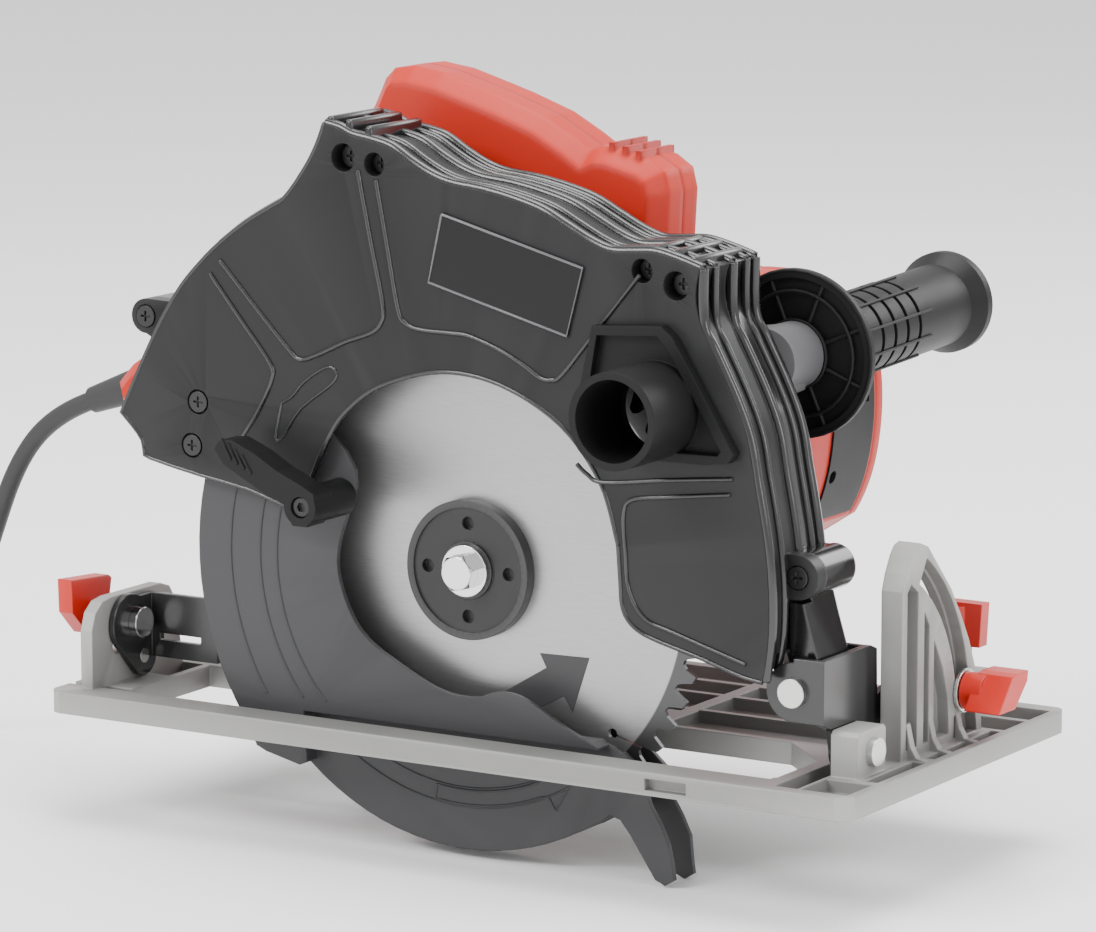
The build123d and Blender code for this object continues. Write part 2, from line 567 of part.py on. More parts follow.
def housings():
    # gear housing behind the guard, with the arm that carries the side handle
    gh = cyl_y(0, 0, 42.4, GUARD_FAR_Y, 48.0) + cyl_y(MX, MZ, 30.0, GUARD_FAR_Y, 48.0)
    gh = gh + m_profile(40.0, 48.0, -0.5)
    gh = gh + poly_y([(40, 60), (60, 30), (96, 62), (126, 76), (129, 92), (118, 101),
                      (104, 99), (60, 90)], GUARD_FAR_Y, 36.0)
    gh = gh + cyl_y(SH_X, SH_Z, 13.0, GUARD_FAR_Y, 42.6)
    gh = gh - cyl_y(0, 0, 39.4, 22.6, 38.4)
    gh = gh - cyl_y(MX, MZ, 11.6, 22.6, 39.0)
    gh = gh - cyl_y(MX, MZ, 8.0, 38.0, 43.0)
    gh = gh - cyl_y(0, 0, 13.0, 38.0, 45.4)
    gh = gh - cyl_y(0, 0, 9.0, 40.0, 46.6)
    gh = gh - cyl_y(0, 0, 16.3, 19.0, 24.0)
    gh = gh - cyl_y(MX, MZ, 11.0, 42.0, 49.0)
    t = math.radians(SH_TILT)
    sp = Plane(origin=(SH_X, SH_DISC_Y, SH_Z), z_dir=(0, math.cos(t), math.sin(t)))
    gh = gh - Solid.make_cylinder(4.0, 22.0, Plane(origin=sp.origin - sp.z_dir * 20.6, z_dir=sp.z_dir))
    gh = gh - cyl_y(LKX, LKZ, 3.05, 36.0, 49.0)
    gh = gh - cyl_y(LKX, LKZ, 6.4, 43.0, 49.0)
    save("gear_housing", one(gh))

    # motor housing and its end cap
    mh = m_profile(MOTOR_Y0 + 0.0, MOTOR_Y1)
    mh = mh - m_profile(MOTOR_Y0 + 3.0, MOTOR_Y1 + 1, -3.0)
    mh = mh - cyl_y(MX, MZ, 36.5, MOTOR_Y0 - 1, MOTOR_Y0 + 4)
    # ring that carries the stator
    ring = (m_profile(80.0, 116.0, -2.6) - cyl_y(MX, MZ, 40.0, 70, 126))
    ring = ring - box(-40, 120, 79, 117, 62, 120)
    mh = mh + ring
    # rows of air slots in the underside and back
    for k in range(6):
        y = 52.5 + 4.6 * k
        mh = mh - box(8, 50, y, y + 2.2, -12, -3)
    cover_zone = box(62, 100, 136.0, 170.0, 3.0, 66.0)
    mh = mh - cyl_x(140.5, 22.0, 2.3, 60, 100)
    for x, z in MOTOR_SCREWS:
        post = cyl_y(x, z, 5.0, 146.0, MOTOR_Y1) & m_profile(140, MOTOR_Y1, -0.5)
        mh = mh + post
        mh = mh - cyl_y(x, z, 1.9, 148.0, MOTOR_Y1 + 1)
    mh = mh - (cover_zone & (m_profile(130, 176, 2.0) - m_profile(130, 176, -1.6)))
    mh = one(mh)
    save("motor_housing", mh)
    cover = cover_zone & (m_profile(136.2, 169.8, 0.7) - m_profile(130, 176, -1.5))
    cover = cover & box(62, 100, 136.2, 169.8, 3.2, 65.8)
    emboss = box(60, 100, 141.0, 165.0, 50.0, 59.5)
    cover = cover - (emboss & (m_profile(139, 168, 2.0) - m_profile(139, 168, -0.1)))
    cover = cover - cyl_x(140.5, 22.0, 2.6, 60, 100)
    save("brush_cover", one(cover))

    cap = m_profile(MOTOR_Y1, CAP_Y1 - 4.0) + m_profile(CAP_Y1 - 4.0, CAP_Y1, -3.0)
    cap = cap - m_profile(MOTOR_Y1 - 1, CAP_Y1 - 3.0, -6.0)
    for k in range(7):
        z = 8.0 + 11.5 * k
        cap = cap - box(2, 62, CAP_Y1 - 5, CAP_Y1 + 1, z, z + 3.2)
    spider = (cyl_y(MX, MZ, 14.5, 158.0, CAP_Y1 - 3.0) - cyl_y(MX, MZ, 11.0, 157.0, 165.0)
              - cyl_y(MX, MZ, 6.0, 150, 170))
    cap = cap + spider
    for a in (0, 120, 240):
        arm = box(13.0, 40.0, 172.5, CAP_Y1 - 3.0, -2.5, 2.5)
        arm = arm.rotate(Axis((0, 0, 0), (0, 1, 0)), a).moved(Location((MX, 0, MZ)))
        cap = cap + (arm & m_profile(170, CAP_Y1, -4.0))
    for x, z in MOTOR_SCREWS:
        cap = cap + (cyl_y(x, z, 5.0, MOTOR_Y1, CAP_Y1 - 2.0) & m_profile(160, CAP_Y1, -0.5))
        cap = cap - cyl_y(x, z, 1.95, 160, CAP_Y1 + 1) - cyl_y(x, z, 3.7, CAP_Y1 - 4.0, CAP_Y1 + 1)
    save("motor_end_cap", one(cap))

    save("motor_screws", *[
        (cyl_y(x, z, 3.6, CAP_Y1 - 4.0, CAP_Y1 - 1.2) + cyl_y(x, z, 1.87, 150.0, CAP_Y1 - 4.0))
        for x, z in MOTOR_SCREWS], cyl_x(140.5, 22.0, 2.28, 70.0, 79.6))


MOTOR_SCREWS = [(71.5, 13.0), (69.0, 84.0), (-10.5, 84.0), (-11.5, 14.0)]
LKX, LKZ = polar(25.5, 225.0)      # spindle lock pin, over a hole of the driven gear
LOCK_X, LOCK_Z = -118.0, 50.0      # depth lock bolt


# ---------------------------------------------------------------------------
# sole plate with bevel sector and rear upright
# ---------------------------------------------------------------------------
def sole():
    z0, zf, z1 = SOLE_Z, SOLE_Z + SOLE_T, SOLE_Z + RIM_H
    slab = box(BASE_X0, BASE_X1, BASE_Y0, BASE_Y1, z0, z1)
    corners = [e for e in slab.edges() if abs((e % 0.5).Z) > 0.9]
    slab = slab.fillet(6.0, corners)
    # pockets between the ribs on top
    cuts = []
    ribs = [33.0, 49.0, 71.0, 93.0, 114.5, 137.0]
    spans = [(36.0, 47.2), (50.8, 69.4), (72.6, 91.4), (94.6, 112.8), (116.2, 135.0)]
    for a, b in spans:
        cuts.append(box(179.0, 183.4, a, b, zf, z1 + 1) if a < 90 else
                    box(160.0, 183.4, a, b, zf, z1 + 1))
    for a, b in [(36.0, 64.0), (67.0, 91.4), (94.6, 112.8), (116.2, 137.0)]:
        x1 = 162.0 if a < 90 else 128.0
        cuts.append(box(-172.0, -64.0, a, b, zf, z1 + 1))
        cuts.append(box(64.0, x1, a, b, zf, z1 + 1))
        cuts.append(box(-58.0, 58.0, max(a, 60.0), b, zf, z1 + 1))
    cuts.append(box(-172.0, -153.0, 8.0, 33.0, zf, z1 + 1))
    cuts.append(box(153.0, 162.5, -34.0, 33.0, zf, z1 + 1))
    cuts.append(box(164.0, 183.4, -34.0, -14.0, zf, z1 + 1))
    cuts.append(box(178.0, 183.4, -10.0, 28.0, zf, z1 + 1))
    # step and notches along the near strip
    cuts.append(box(-179, 146.0, -25.0, -21.0, z1 - 2.2, z1 + 1))
    cuts.append(box(100.0, 118.0, -41.0, -36.5, z0 + 2.0, z1 - 2.5))
    for c in cuts:
        slab = slab - c
    slab = slab - poly_z([(SLOT_X0, SLOT_Y0), (SLOT_X1, SLOT_Y0), (SLOT_X1, 10.0),
                          (SLOT_X1 - 24.0, SLOT_Y1), (SLOT_X0, SLOT_Y1)], z0 - 1, z1 + 1)
    slab = slab - box(-54.0, 54.0, 20.0, 56.5, z0 - 1, z1 + 1)

    # front hinge lug
    lug = poly_x([(-10.0, zf), (-10.0, -45.5), (-8.5, -44.0), (10.5, -44.0), (12.0, -45.5),
                  (12.0, zf)], 163.5, 175.0)
    slab = slab + lug
    # bevel sector: web with raised ribs
    outline = [(24.5, zf), (24.5, 4.0), (27.0, 10.5), (31.0, 17.0), (34.0, 20.0),
               (38.0, 21.0), (45.0, 18.5), (54.6, 8.9), (64.4, -0.9), (72.5, -12.0),
               (79.8, -23.4), (85.4, -35.0), (89.0, -45.0), (91.0, -55.0), (92.0, zf)]
    sect = poly_x(outline, SECT_X0, SECT_X1)

    def annulus(r0, r1, d0, d1):
        return (arc_pts(BEV_Y, BEV_Z, r0, d0, d1, 24)
                + list(reversed(arc_pts(BEV_Y, BEV_Z, r1, d0, d1, 24))))
    # recess around the slot and between the ribs
    pockets = [
        annulus(BEV_SLOT_R - 5.6, BEV_SLOT_R + 5.2, 4.0, 58.0),
        [(28.5, -58.0), (28.5, 3.0), (31.5, 6.0), (37.5, 2.0), (37.5, -58.0)],
        [(42.6, -58.0), (42.6, -6.0), (47.0, -12.5), (47.0, -58.0)],
        [(50.8, -58.0), (50.8, -18.5), (58.5, -31.0), (63.0, -44.0), (64.0, -58.0)],
        [(68.0, -61.0), (68.0, -52.0), (86.0, -52.0), (87.5, -61.0)],
    ]
    for p in pockets:
        sect = sect - poly_x(p, SECT_X0 + 4.0, SECT_X1 + 1)
    slot = poly_x(annulus(BEV_SLOT_R - 4.2, BEV_SLOT_R + 4.2, BEV_REST_DEG - 0.6,
                          BEV_REST_DEG + 46.0), SECT_X0 - 1, SECT_X1 + 1)
    for d in (BEV_REST_DEG - 0.6, BEV_REST_DEG + 46.0):
        c = polar(BEV_SLOT_R, d)
        slot = slot + cyl_x(BEV_Y + c[0], BEV_Z + c[1], 4.2, SECT_X0 - 1, SECT_X1 + 1)
    sect = sect - slot
    slab = slab + sect
    # buttress ribs in front of the sector
    for y in (31.0, 49.0, 71.0):
        web = Face(Wire.make_polygon([Vector(SECT_X1 - 0.5, y - 1.7, z1 + 14.0),
                                      Vector(SECT_X1 - 0.5, y - 1.7, z1 - 2),
                                      Vector(183.6, y - 1.7, z1 - 2),
                                      Vector(183.6, y - 1.7, z1),
                                      Vector(179.0, y - 1.7, z1 + 1.0),
                                      Vector(176.6, y - 1.7, z1 + 5.0)]))
        slab = slab + extrude(web, amount=3.4, dir=(0, 1, 0)).solid()
    # rear upright
    up = poly_x([(-30.0, zf), (-30.0, -38.0), (-27.5, -31.0), (-22.5, -27.0), (-16.0, -26.0),
                 (18.0, -26.0), (24.0, -28.0), (28.0, -34.0), (30.0, -44.0), (34.0, zf)],
                -169.0, -163.4)
    arc = poly_x((arc_pts(BEV_Y, BEV_Z, RB_R - 3.7, RB_A - 1.0, RB_A + 46.5, 16)
                  + list(reversed(arc_pts(BEV_Y, BEV_Z, RB_R + 3.7, RB_A - 1.0, RB_A + 46.5, 16)))),
                 -170, -162)
    for d in (RB_A - 1.0, RB_A + 46.5):
        c = polar(RB_R, d)
        arc = arc + cyl_x(BEV_Y + c[0], BEV_Z + c[1], 3.7, -170, -162)
    up = up - arc
    slab = slab + up
    # hinge pin holes
    slab = slab - cyl_x(BEV_Y, BEV_Z, 3.0, 160, 180)
    slab = slab - cyl_x(BEV_Y, BEV_Z, 3.0, -172, -160)
    # guide boss for the rip fence bar with its clamp screw thread
    boss = box(129.0, 157.0, 120.0, 143.0, zf, -49.0)
    slab = slab + boss
    slab = slab - box(FC_X - 9.0, FC_X + 9.0, 90.0, 144.0, zf + 0.6, -60.0)
    slab = slab - cyl_z(FC_X, FC_Y, 3.05, -61.0, -48.0)
    save("sole_plate", one(slab))

    # bevel hinge pins, riveted into the sole casting
    front = cyl_x(BEV_Y, BEV_Z, 3.0, 160.0, 175.0) + cyl_x(BEV_Y, BEV_Z, 5.6, 175.0, 177.6)
    rear = cyl_x(BEV_Y, BEV_Z, 3.0, -169.0, -160.3) + cyl_x(BEV_Y, BEV_Z, 5.4, -171.8, -169.0)
    save("bevel_hinge_pins", front, rear)


RB_DY, RB_DZ = -5.0, 15.0
RB_R, RB_A = math.hypot(RB_DY, RB_DZ), math.degrees(math.atan2(RB_DZ, RB_DY))
FC_X, FC_Y = 143.0, 131.5


def wing(pts, bore_y, bore_z, x0, x1, hub_x0, hub_x1, hub_r, bore_r):
    w = poly_x(pts, x0, x1) + cyl_x(bore_y, bore_z, hub_r, hub_x0, hub_x1)
    return one(w - cyl_x(bore_y, bore_z, bore_r, hub_x0 - 1, hub_x1 - 3.0))


def brackets():
    # front bracket: upright channel with a tongue at the hinge and an arm to the sector
    near = poly_y([(150, -18.5), (150, -17), (163, -17), (163, -41.5), (150, -41.5)],
                  -15.0, -12.2) + cyl_y(PIV_X, PIV_Z, 11.5, -15.0, -12.2)
    farc = poly_y([(150, -18.5), (150, -17), (163, -17), (163, -41.5), (150, -41.5)],
                  19.0, 21.8) + cyl_y(PIV_X, PIV_Z, 11.5, 19.0, 21.8)
    front = poly_x([(-15.0, -41.5), (-15.0, -17.0), (22.0, -17.0), (27.0, -19.0),
                    (27.5, -37.0), (44.0, -33.0), (66.0, -31.5), (76.0, -33.0), (83.0, -37.0),
                    (85.0, -43.0), (82.5, -49.0), (76.0, -52.4), (62.0, -52.0),
                    (27.0, -48.5), (18.0, -46.5), (11.5, -48.5), (10.0, -53.0),
                    (-6.0, -53.0), (-8.0, -44.5)], 160.2, 163.0)
    front = front + cyl_x(BEV_Y, BEV_Z, 8.1, 160.2, 163.0)
    br = near + farc + front
    br = br - cyl_y(PIV_X, PIV_Z, 4.0, -16, 23)
    br = br - cyl_x(BEV_Y, BEV_Z, 3.08, 159, 164)
    fb = polar(BEV_SLOT_R, BEV_REST_DEG)
    fy, fz = BEV_Y + fb[0], BEV_Z + fb[1]
    br = br - cyl_x(fy, fz, 3.9, 159, 164)
    save("front_bracket", one(br))
    # depth pivot bolt across the cheeks
    piv = (cyl_y(PIV_X, PIV_Z, 3.97, -15.0, 21.8) + cyl_y(PIV_X, PIV_Z, 5.6, -17.4, -15.0)
           + cyl_y(PIV_X, PIV_Z, 5.6, 21.8, 24.4))
    save("depth_pivot_bolt", piv)
    # bevel clamp bolt with washer and wing nut
    bolt = cyl_x(fy, fz, 3.88, 158.0, 182.6) + cyl_x(fy, fz, 6.5, 156.4, 160.2) \
        + cyl_x(fy, fz, 6.5, 163.0, 165.6)
    save("front_bevel_bolt", bolt)
    save("front_bevel_washer", cyl_x(fy, fz, 8.6, 175.3, 176.8) - cyl_x(fy, fz, 3.93, 174, 178))
    fw = [(fy - 12.6, fz - 5.3), (fy - 1.2, fz + 7.6), (fy + 3.0, fz + 8.2),
          (fy + 12.2, fz + 8.0), (fy + 11.6, fz + 4.0), (fy + 1.4, fz - 5.4)]
    save("front_bevel_wing_nut", wing(fw, fy, fz, 182.0, 197.0, 177.1, 186.0, 7.4, 3.95))

    # rear bracket and its clamp
    by, bz = BEV_Y + RB_DY, BEV_Z + RB_DZ
    pts = []
    c0, r0 = (-7.0, -38.0), 12.0
    plate = cyl_x(*c0, r0, -163.0, -160.4) + cyl_x(BEV_Y, BEV_Z, 8.1, -163.0, -160.4)
    plate = plate + poly_x([(-18.2, -33.5), (-13.0, -27.6), (9.5, -27.6), (9.5, -53.5),
                            (3.5, -61.0), (-3.5, -59.0), (-16.2, -45.6)], -163.0, -160.4)
    arm = box(-163.0, -128.0, 7.0, 9.5, -54.0, -27.6)
    arm = arm + box(-130.5, -128.0, 7.0, 24.5, -54.0, -27.6)
    rb = plate + arm
    rb = rb - cyl_x(BEV_Y, BEV_Z, 3.08, -164, -159)
    rb = rb - cyl_x(by, bz, 3.4, -164, -159)
    rb = rb - box(-156.0, -136.0, 6, 11, -47.0, -44.0)
    save("rear_bracket", one(rb))
    rbolt = cyl_x(by, bz, 3.38, -184.0, -160.4) + cyl_x(by, bz, 6.2, -160.4, -156.6)
    save("rear_bevel_bolt", rbolt)
    rw = [(by - 17.0, bz + 17.6), (by - 16.4, bz + 4.0), (by - 6.5, bz - 6.0),
          (by + 6.5, bz - 6.0), (by + 8.0, bz + 3.0), (by + 10.5, bz + 14.4), (by + 8.5, bz + 15.8)]
    nut = wing(rw, by, bz, -187.5, -179.5, -181.0, -169.6, 7.0, 3.45)
    nut = cyl_x(by, bz, 7.0, -187.5, -169.6) + poly_x(rw, -187.5, -180.5)
    nut = one(nut - cyl_x(by, bz, 3.42, -184.3, -169))
    save("rear_bevel_wing_nut", nut)

    # depth guide: curved plate with a slot, riveted to the rear bracket
    rg = math.hypot(LOCK_X - PIV_X, LOCK_Z - PIV_Z)
    ag = math.degrees(math.atan2(LOCK_Z - PIV_Z, LOCK_X - PIV_X))
    ring = poly_y(arc_pts(PIV_X, PIV_Z, rg + 10.5, ag - 16.0, ag + 21.5, 24)
                  + list(reversed(arc_pts(PIV_X, PIV_Z, rg - 10.5, ag - 16.0, ag + 21.5, 24))),
                  24.5, 27.0)
    cut = poly_y(arc_pts(PIV_X, PIV_Z, rg + 3.6, ag - 14.2, ag + 11.4, 24)
                 + list(reversed(arc_pts(PIV_X, PIV_Z, rg - 3.6, ag - 14.2, ag + 11.4, 24))),
                 22, 29)
    ring = ring - cut
    c = (PIV_X + rg * math.cos(math.radians(ag + 18.6)), PIV_Z + rg * math.sin(math.radians(ag + 18.6)))
    ring = one(ring)
    save("depth_guide", ring)
    # lock bolt in the guard and its lever
    save("depth_lock_bolt", cyl_y(LOCK_X, LOCK_Z, 2.98, 9.0, 38.0))
    lev = cyl_y(LOCK_X, LOCK_Z, 8.0, 27.4, 36.5)
    lev = lev + poly_y([(LOCK_X - 6, LOCK_Z), (LOCK_X - 9, LOCK_Z + 38), (LOCK_X - 5, LOCK_Z + 44),
                        (LOCK_X + 3, LOCK_Z + 44), (LOCK_X + 6, LOCK_Z + 38), (LOCK_X + 7, LOCK_Z)],
                       29.5, 35.5)
    lev = lev - cyl_y(LOCK_X, LOCK_Z, 3.03, 27, 37)
    save("depth_lock_lever", one(lev))


def fence_clamp():
    s = cyl_z(FC_X, FC_Y, 3.0, -59.6, -40.5)
    save("fence_clamp_screw", s)
    k = cyl_z(FC_X, FC_Y, 6.5, -46.5, -22.0)
    w = Face(Wire.make_polygon([Vector(FC_X - 12, FC_Y - 3.4, -38), Vector(FC_X + 12, FC_Y - 3.4, -38),
                                Vector(FC_X + 13, FC_Y - 3.4, -20.5), Vector(FC_X - 13, FC_Y - 3.4, -20.5)]))
    k = k + extrude(w, amount=6.8, dir=(0, 1, 0)).solid()
    k = k - cyl_z(FC_X, FC_Y, 3.0, -47, -40.5)
    save("fence_clamp_knob", one(k))


# ---------------------------------------------------------------------------
# main handle with switch, side handle, cord
# ---------------------------------------------------------------------------
H_OUT = [(58.0, 99.0), (59.0, 128.0), (60.0, 146.0), (58.0, 154.0), (51.0, 158.6),
         (35.8, 162.4), (29.0, 162.6), (24.5, 160.6), (17.5, 165.0), (3.8, 172.5),
         (-14.7, 179.0), (-24.0, 181.8), (-42.7, 187.2), (-56.8, 189.2), (-66.0, 188.0),
         (-70.5, 183.5), (-73.5, 177.0), (-76.0, 172.0), (-87.0, 158.0), (-104.0, 143.0),
         (-122.0, 126.0), (-141.0, 106.0), (-160.0, 86.0), (-178.0, 70.0), (-196.0, 58.0),
         (-203.0, 50.0), (-201.0, 42.0), (-192.0, 36.0), (-170.0, 33.0), (-130.0, 32.0),
         (-80.0, 32.0), (-21.0, 34.0), (-18.0, 60.0), (-18.0, 88.0), (0.0, 99.0)]
H_IN = [(14.0, 103.0), (16.0, 126.0), (8.0, 134.0), (-14.0, 142.0), (-40.0, 150.0),
        (-52.0, 148.0), (-66.0, 132.0), (-84.0, 114.0), (-104.0, 94.0), (-124.0, 76.0),
        (-130.0, 68.0), (-126.0, 62.0), (-112.0, 60.0), (-48.0, 62.0), (-34.0, 70.0),
        (-26.0, 92.0), (-16.0, 100.0)]


def shrink(pts, d):
    """Offset a closed polygon inward by d (positive) along averaged normals."""
    area = sum(a[0] * b[1] - b[0] * a[1] for a, b in zip(pts, pts[1:] + pts[:1])) / 2
    sgn = 1.0 if area > 0 else -1.0
    out = []
    n = len(pts)
    for i in range(n):
        p0, p1, p2 = pts[i - 1], pts[i], pts[(i + 1) % n]
        e1 = (p1[0] - p0[0], p1[1] - p0[1])
        e2 = (p2[0] - p1[0], p2[1] - p1[1])
        l1, l2 = math.hypot(*e1), math.hypot(*e2)
        n1 = (-e1[1] / l1 * sgn, e1[0] / l1 * sgn)
        n2 = (-e2[1] / l2 * sgn, e2[0] / l2 * sgn)
        m = (n1[0] + n2[0], n1[1] + n2[1])
        k = m[0] * n1[0] + m[1] * n1[1]
        k = max(k, 0.5)
        out.append((p1[0] + m[0] / k * d, p1[1] + m[1] / k * d))
    return out


def slab_loft(pts_a, ya, pts_b, yb):
    fa = Wire.make_polygon([Vector(x, ya, z) for x, z in pts_a])
    fb = Wire.make_polygon([Vector(x, yb, z) for x, z in pts_b])
    return Solid.make_loft([fa, fb], ruled=True)


def handle():
    halves = []
    for side in (-1, 1):
        ym = HM_Y
        ye = HN_Y if side < 0 else HF_Y
        body = poly_y(H_OUT, min(ym, ye + 8.0 * -side), max(ym, ye + 8.0 * -side))
        cheek = slab_loft(H_OUT, ye - 8.0 * side, shrink(H_OUT, 6.0), ye)
        loop = poly_y(H_IN, 30, 84)
        half = body + cheek
        half = half - loop
        # hollow inside
        inner_o = shrink(H_OUT, 3.6)
        y_in = ye - 3.4 * side
        hollow = poly_y(inner_o, min(ym - side, y_in - 6 * side), max(ym - side, y_in - 6 * side))
        hollow = hollow + slab_loft(inner_o, y_in - 6.0 * side, shrink(H_OUT, 8.4), y_in)
        hollow = hollow - poly_y(shrink(H_IN, -3.2), 30, 84)
        half = half - hollow
        halves.append(half)
    near, far = halves
    # seat on the gear and motor housings
    seat = m_profile(30, 90, 0.02)
    near, far = near - seat - cyl_y(0, 0, 42.8, 30, 49), far - seat
    # trigger window in the grip's inner wall and lock-off hole
    win = box(-18.0, 0.0, 51.0, 63.0, -22.0, 22.0).rotate(Axis((0, 0, 0), (0, 1, 0)), 42.0)
    trig_at = Location((TR_X, 0, TR_Z))
    near = near - TRIG_HOLE
    far = far - TRIG_HOLE
    hole = cyl_y(LO_X, LO_Z, 5.05, HF_Y - 12, HF_Y + 1)
    far = far - hole
    # cord sleeve hole in the tail, half in each shell
    sleeve = Solid.make_cylinder(7.45, 30, Plane(
        origin=Vector(*SLEEVE_AT) - SLEEVE_DIR * 8.0, z_dir=SLEEVE_DIR))
    near, far = near - sleeve, far - sleeve
    # screw posts
    for x, z in HANDLE_SCREWS:
        post_n = cyl_y(x, z, 4.6, HN_Y + 3.0, HM_Y)
        post_f = cyl_y(x, z, 4.6, HM_Y, HF_Y - 3.0)
        near = near + post_n
        far = far + post_f
        near = near - cyl_y(x, z, 2.0, HN_Y + 8.0, HM_Y + 1)
        far = far - cyl_y(x, z, 2.0, HM_Y - 1, HF_Y)
        far = far - cyl_y(x, z, 3.8, HF_Y - 4.0, HF_Y + 1)
    # ribs across the front block
    for x, z in ((34.0, 163.0), (40.0, 161.8), (46.0, 160.4)):
        near = near + box(x, x + 2.2, 44.0, HM_Y, z - 3.0, z + 1.4)
        far = far + box(x, x + 2.2, HM_Y, 70.0, z - 3.0, z + 1.4)
    near, far = one(near), one(far)
    save("handle_half_near", near)
    save("handle_half_far", far)
    save("handle_screws", *[cyl_y(x, z, 1.95, HN_Y + 9.0, HF_Y - 4.0) + cyl_y(x, z, 3.5, HF_Y - 4.0, HF_Y - 1.4)
                            for x, z in HANDLE_SCREWS])


# grip direction (down and back) and the trigger on its inner side
GRIP = (-0.7071, -0.7071)
TR_X, TR_Z = -86.0, 112.0
SLEEVE_DIR = Vector(-0.94, 0, -0.342).normalized()
SLEEVE_AT = (-198.0, HM_Y, 48.8)
HANDLE_SCREWS = [(48.0, 120.0), (40.0, 148.0), (-58.0, 170.0), (-138.0, 88.0), (-180.0, 46.0), (-34.0, 46.0)]
LO_X, LO_Z = -78.0, 150.0


def along(u, v):
    """Point at u along the grip (down and back) and v across it towards the loop."""
    return (TR_X + GRIP[0] * u - GRIP[1] * v, TR_Z + GRIP[1] * u + GRIP[0] * v)


TRIG_HOLE = poly_y([along(-20.0, -9.0), along(20.0, -9.0), along(20.0, 4.0), along(-20.0, 4.0)],
                   50.7, 63.3)


def controls():
    t = poly_y([along(-19.6, -8.6), along(19.6, -8.6), along(19.6, 2.0), along(14.0, 8.4),
                along(4.0, 6.2), along(-8.0, 6.6), along(-16.0, 9.6), along(-19.6, 4.0)],
               51.0, 63.0)
    save("trigger", t)
    sw = poly_y([along(-18.0, -27.0), along(18.0, -27.0), along(18.0, -13.2), along(-18.0, -13.2)],
                46.5, 67.5)
    save("switch_body", sw)
    lo = cyl_y(LO_X, LO_Z, 5.0, HF_Y - 11.0, HF_Y + 4.5) + cyl_y(LO_X, LO_Z, 6.4, HF_Y - 11.0, HF_Y - 9.0)
    save("lock_off_button", lo)
    lk = cyl_y(LKX, LKZ, 3.0, 38.7, 50.0) + cyl_y(LKX, LKZ, 6.0, 49.0, 57.0)
    save("spindle_lock_button", lk)


def side_handle():
    t = math.radians(SH_TILT)
    plane = Plane(origin=(SH_X, SH_DISC_Y, SH_Z), z_dir=(0, math.cos(t), math.sin(t)))

    def c(r, a, b, r2=None):
        o = plane.origin + plane.z_dir * a
        p = Plane(origin=o, z_dir=plane.z_dir)
        if r2 is None:
            return Solid.make_cylinder(r, b - a, p)
        return Solid.make_cone(r, r2, b - a, p)
    L = SH_END_Y - SH_DISC_Y
    g = c(33.0, 4.0, 8.0, 30.0) + c(33.0, 1.2, 4.0)
    g = g - c(29.5, 0, 3.4)
    g = g + c(12.5, 0.4, 5.0) + c(18.0, 6.0, 12.0, 16.5) + c(16.6, 10.0, L - 8.0)
    for k in range(5):
        a = 30.0 + 10.3 * k
        g = g - (c(18.0, a, a + 2.4) - c(15.4, a - 1, a + 4))
    g = g + c(16.6, L - 14, L - 7, 20.5) + c(20.5, L - 7, L - 3.0) + c(20.5, L - 3.0, L, 17.5)
    g = g - c(4.0, -2, 42.0)
    save("side_handle", one(g))
    save("side_handle_stud", c(3.98, -20.4, 41.8))


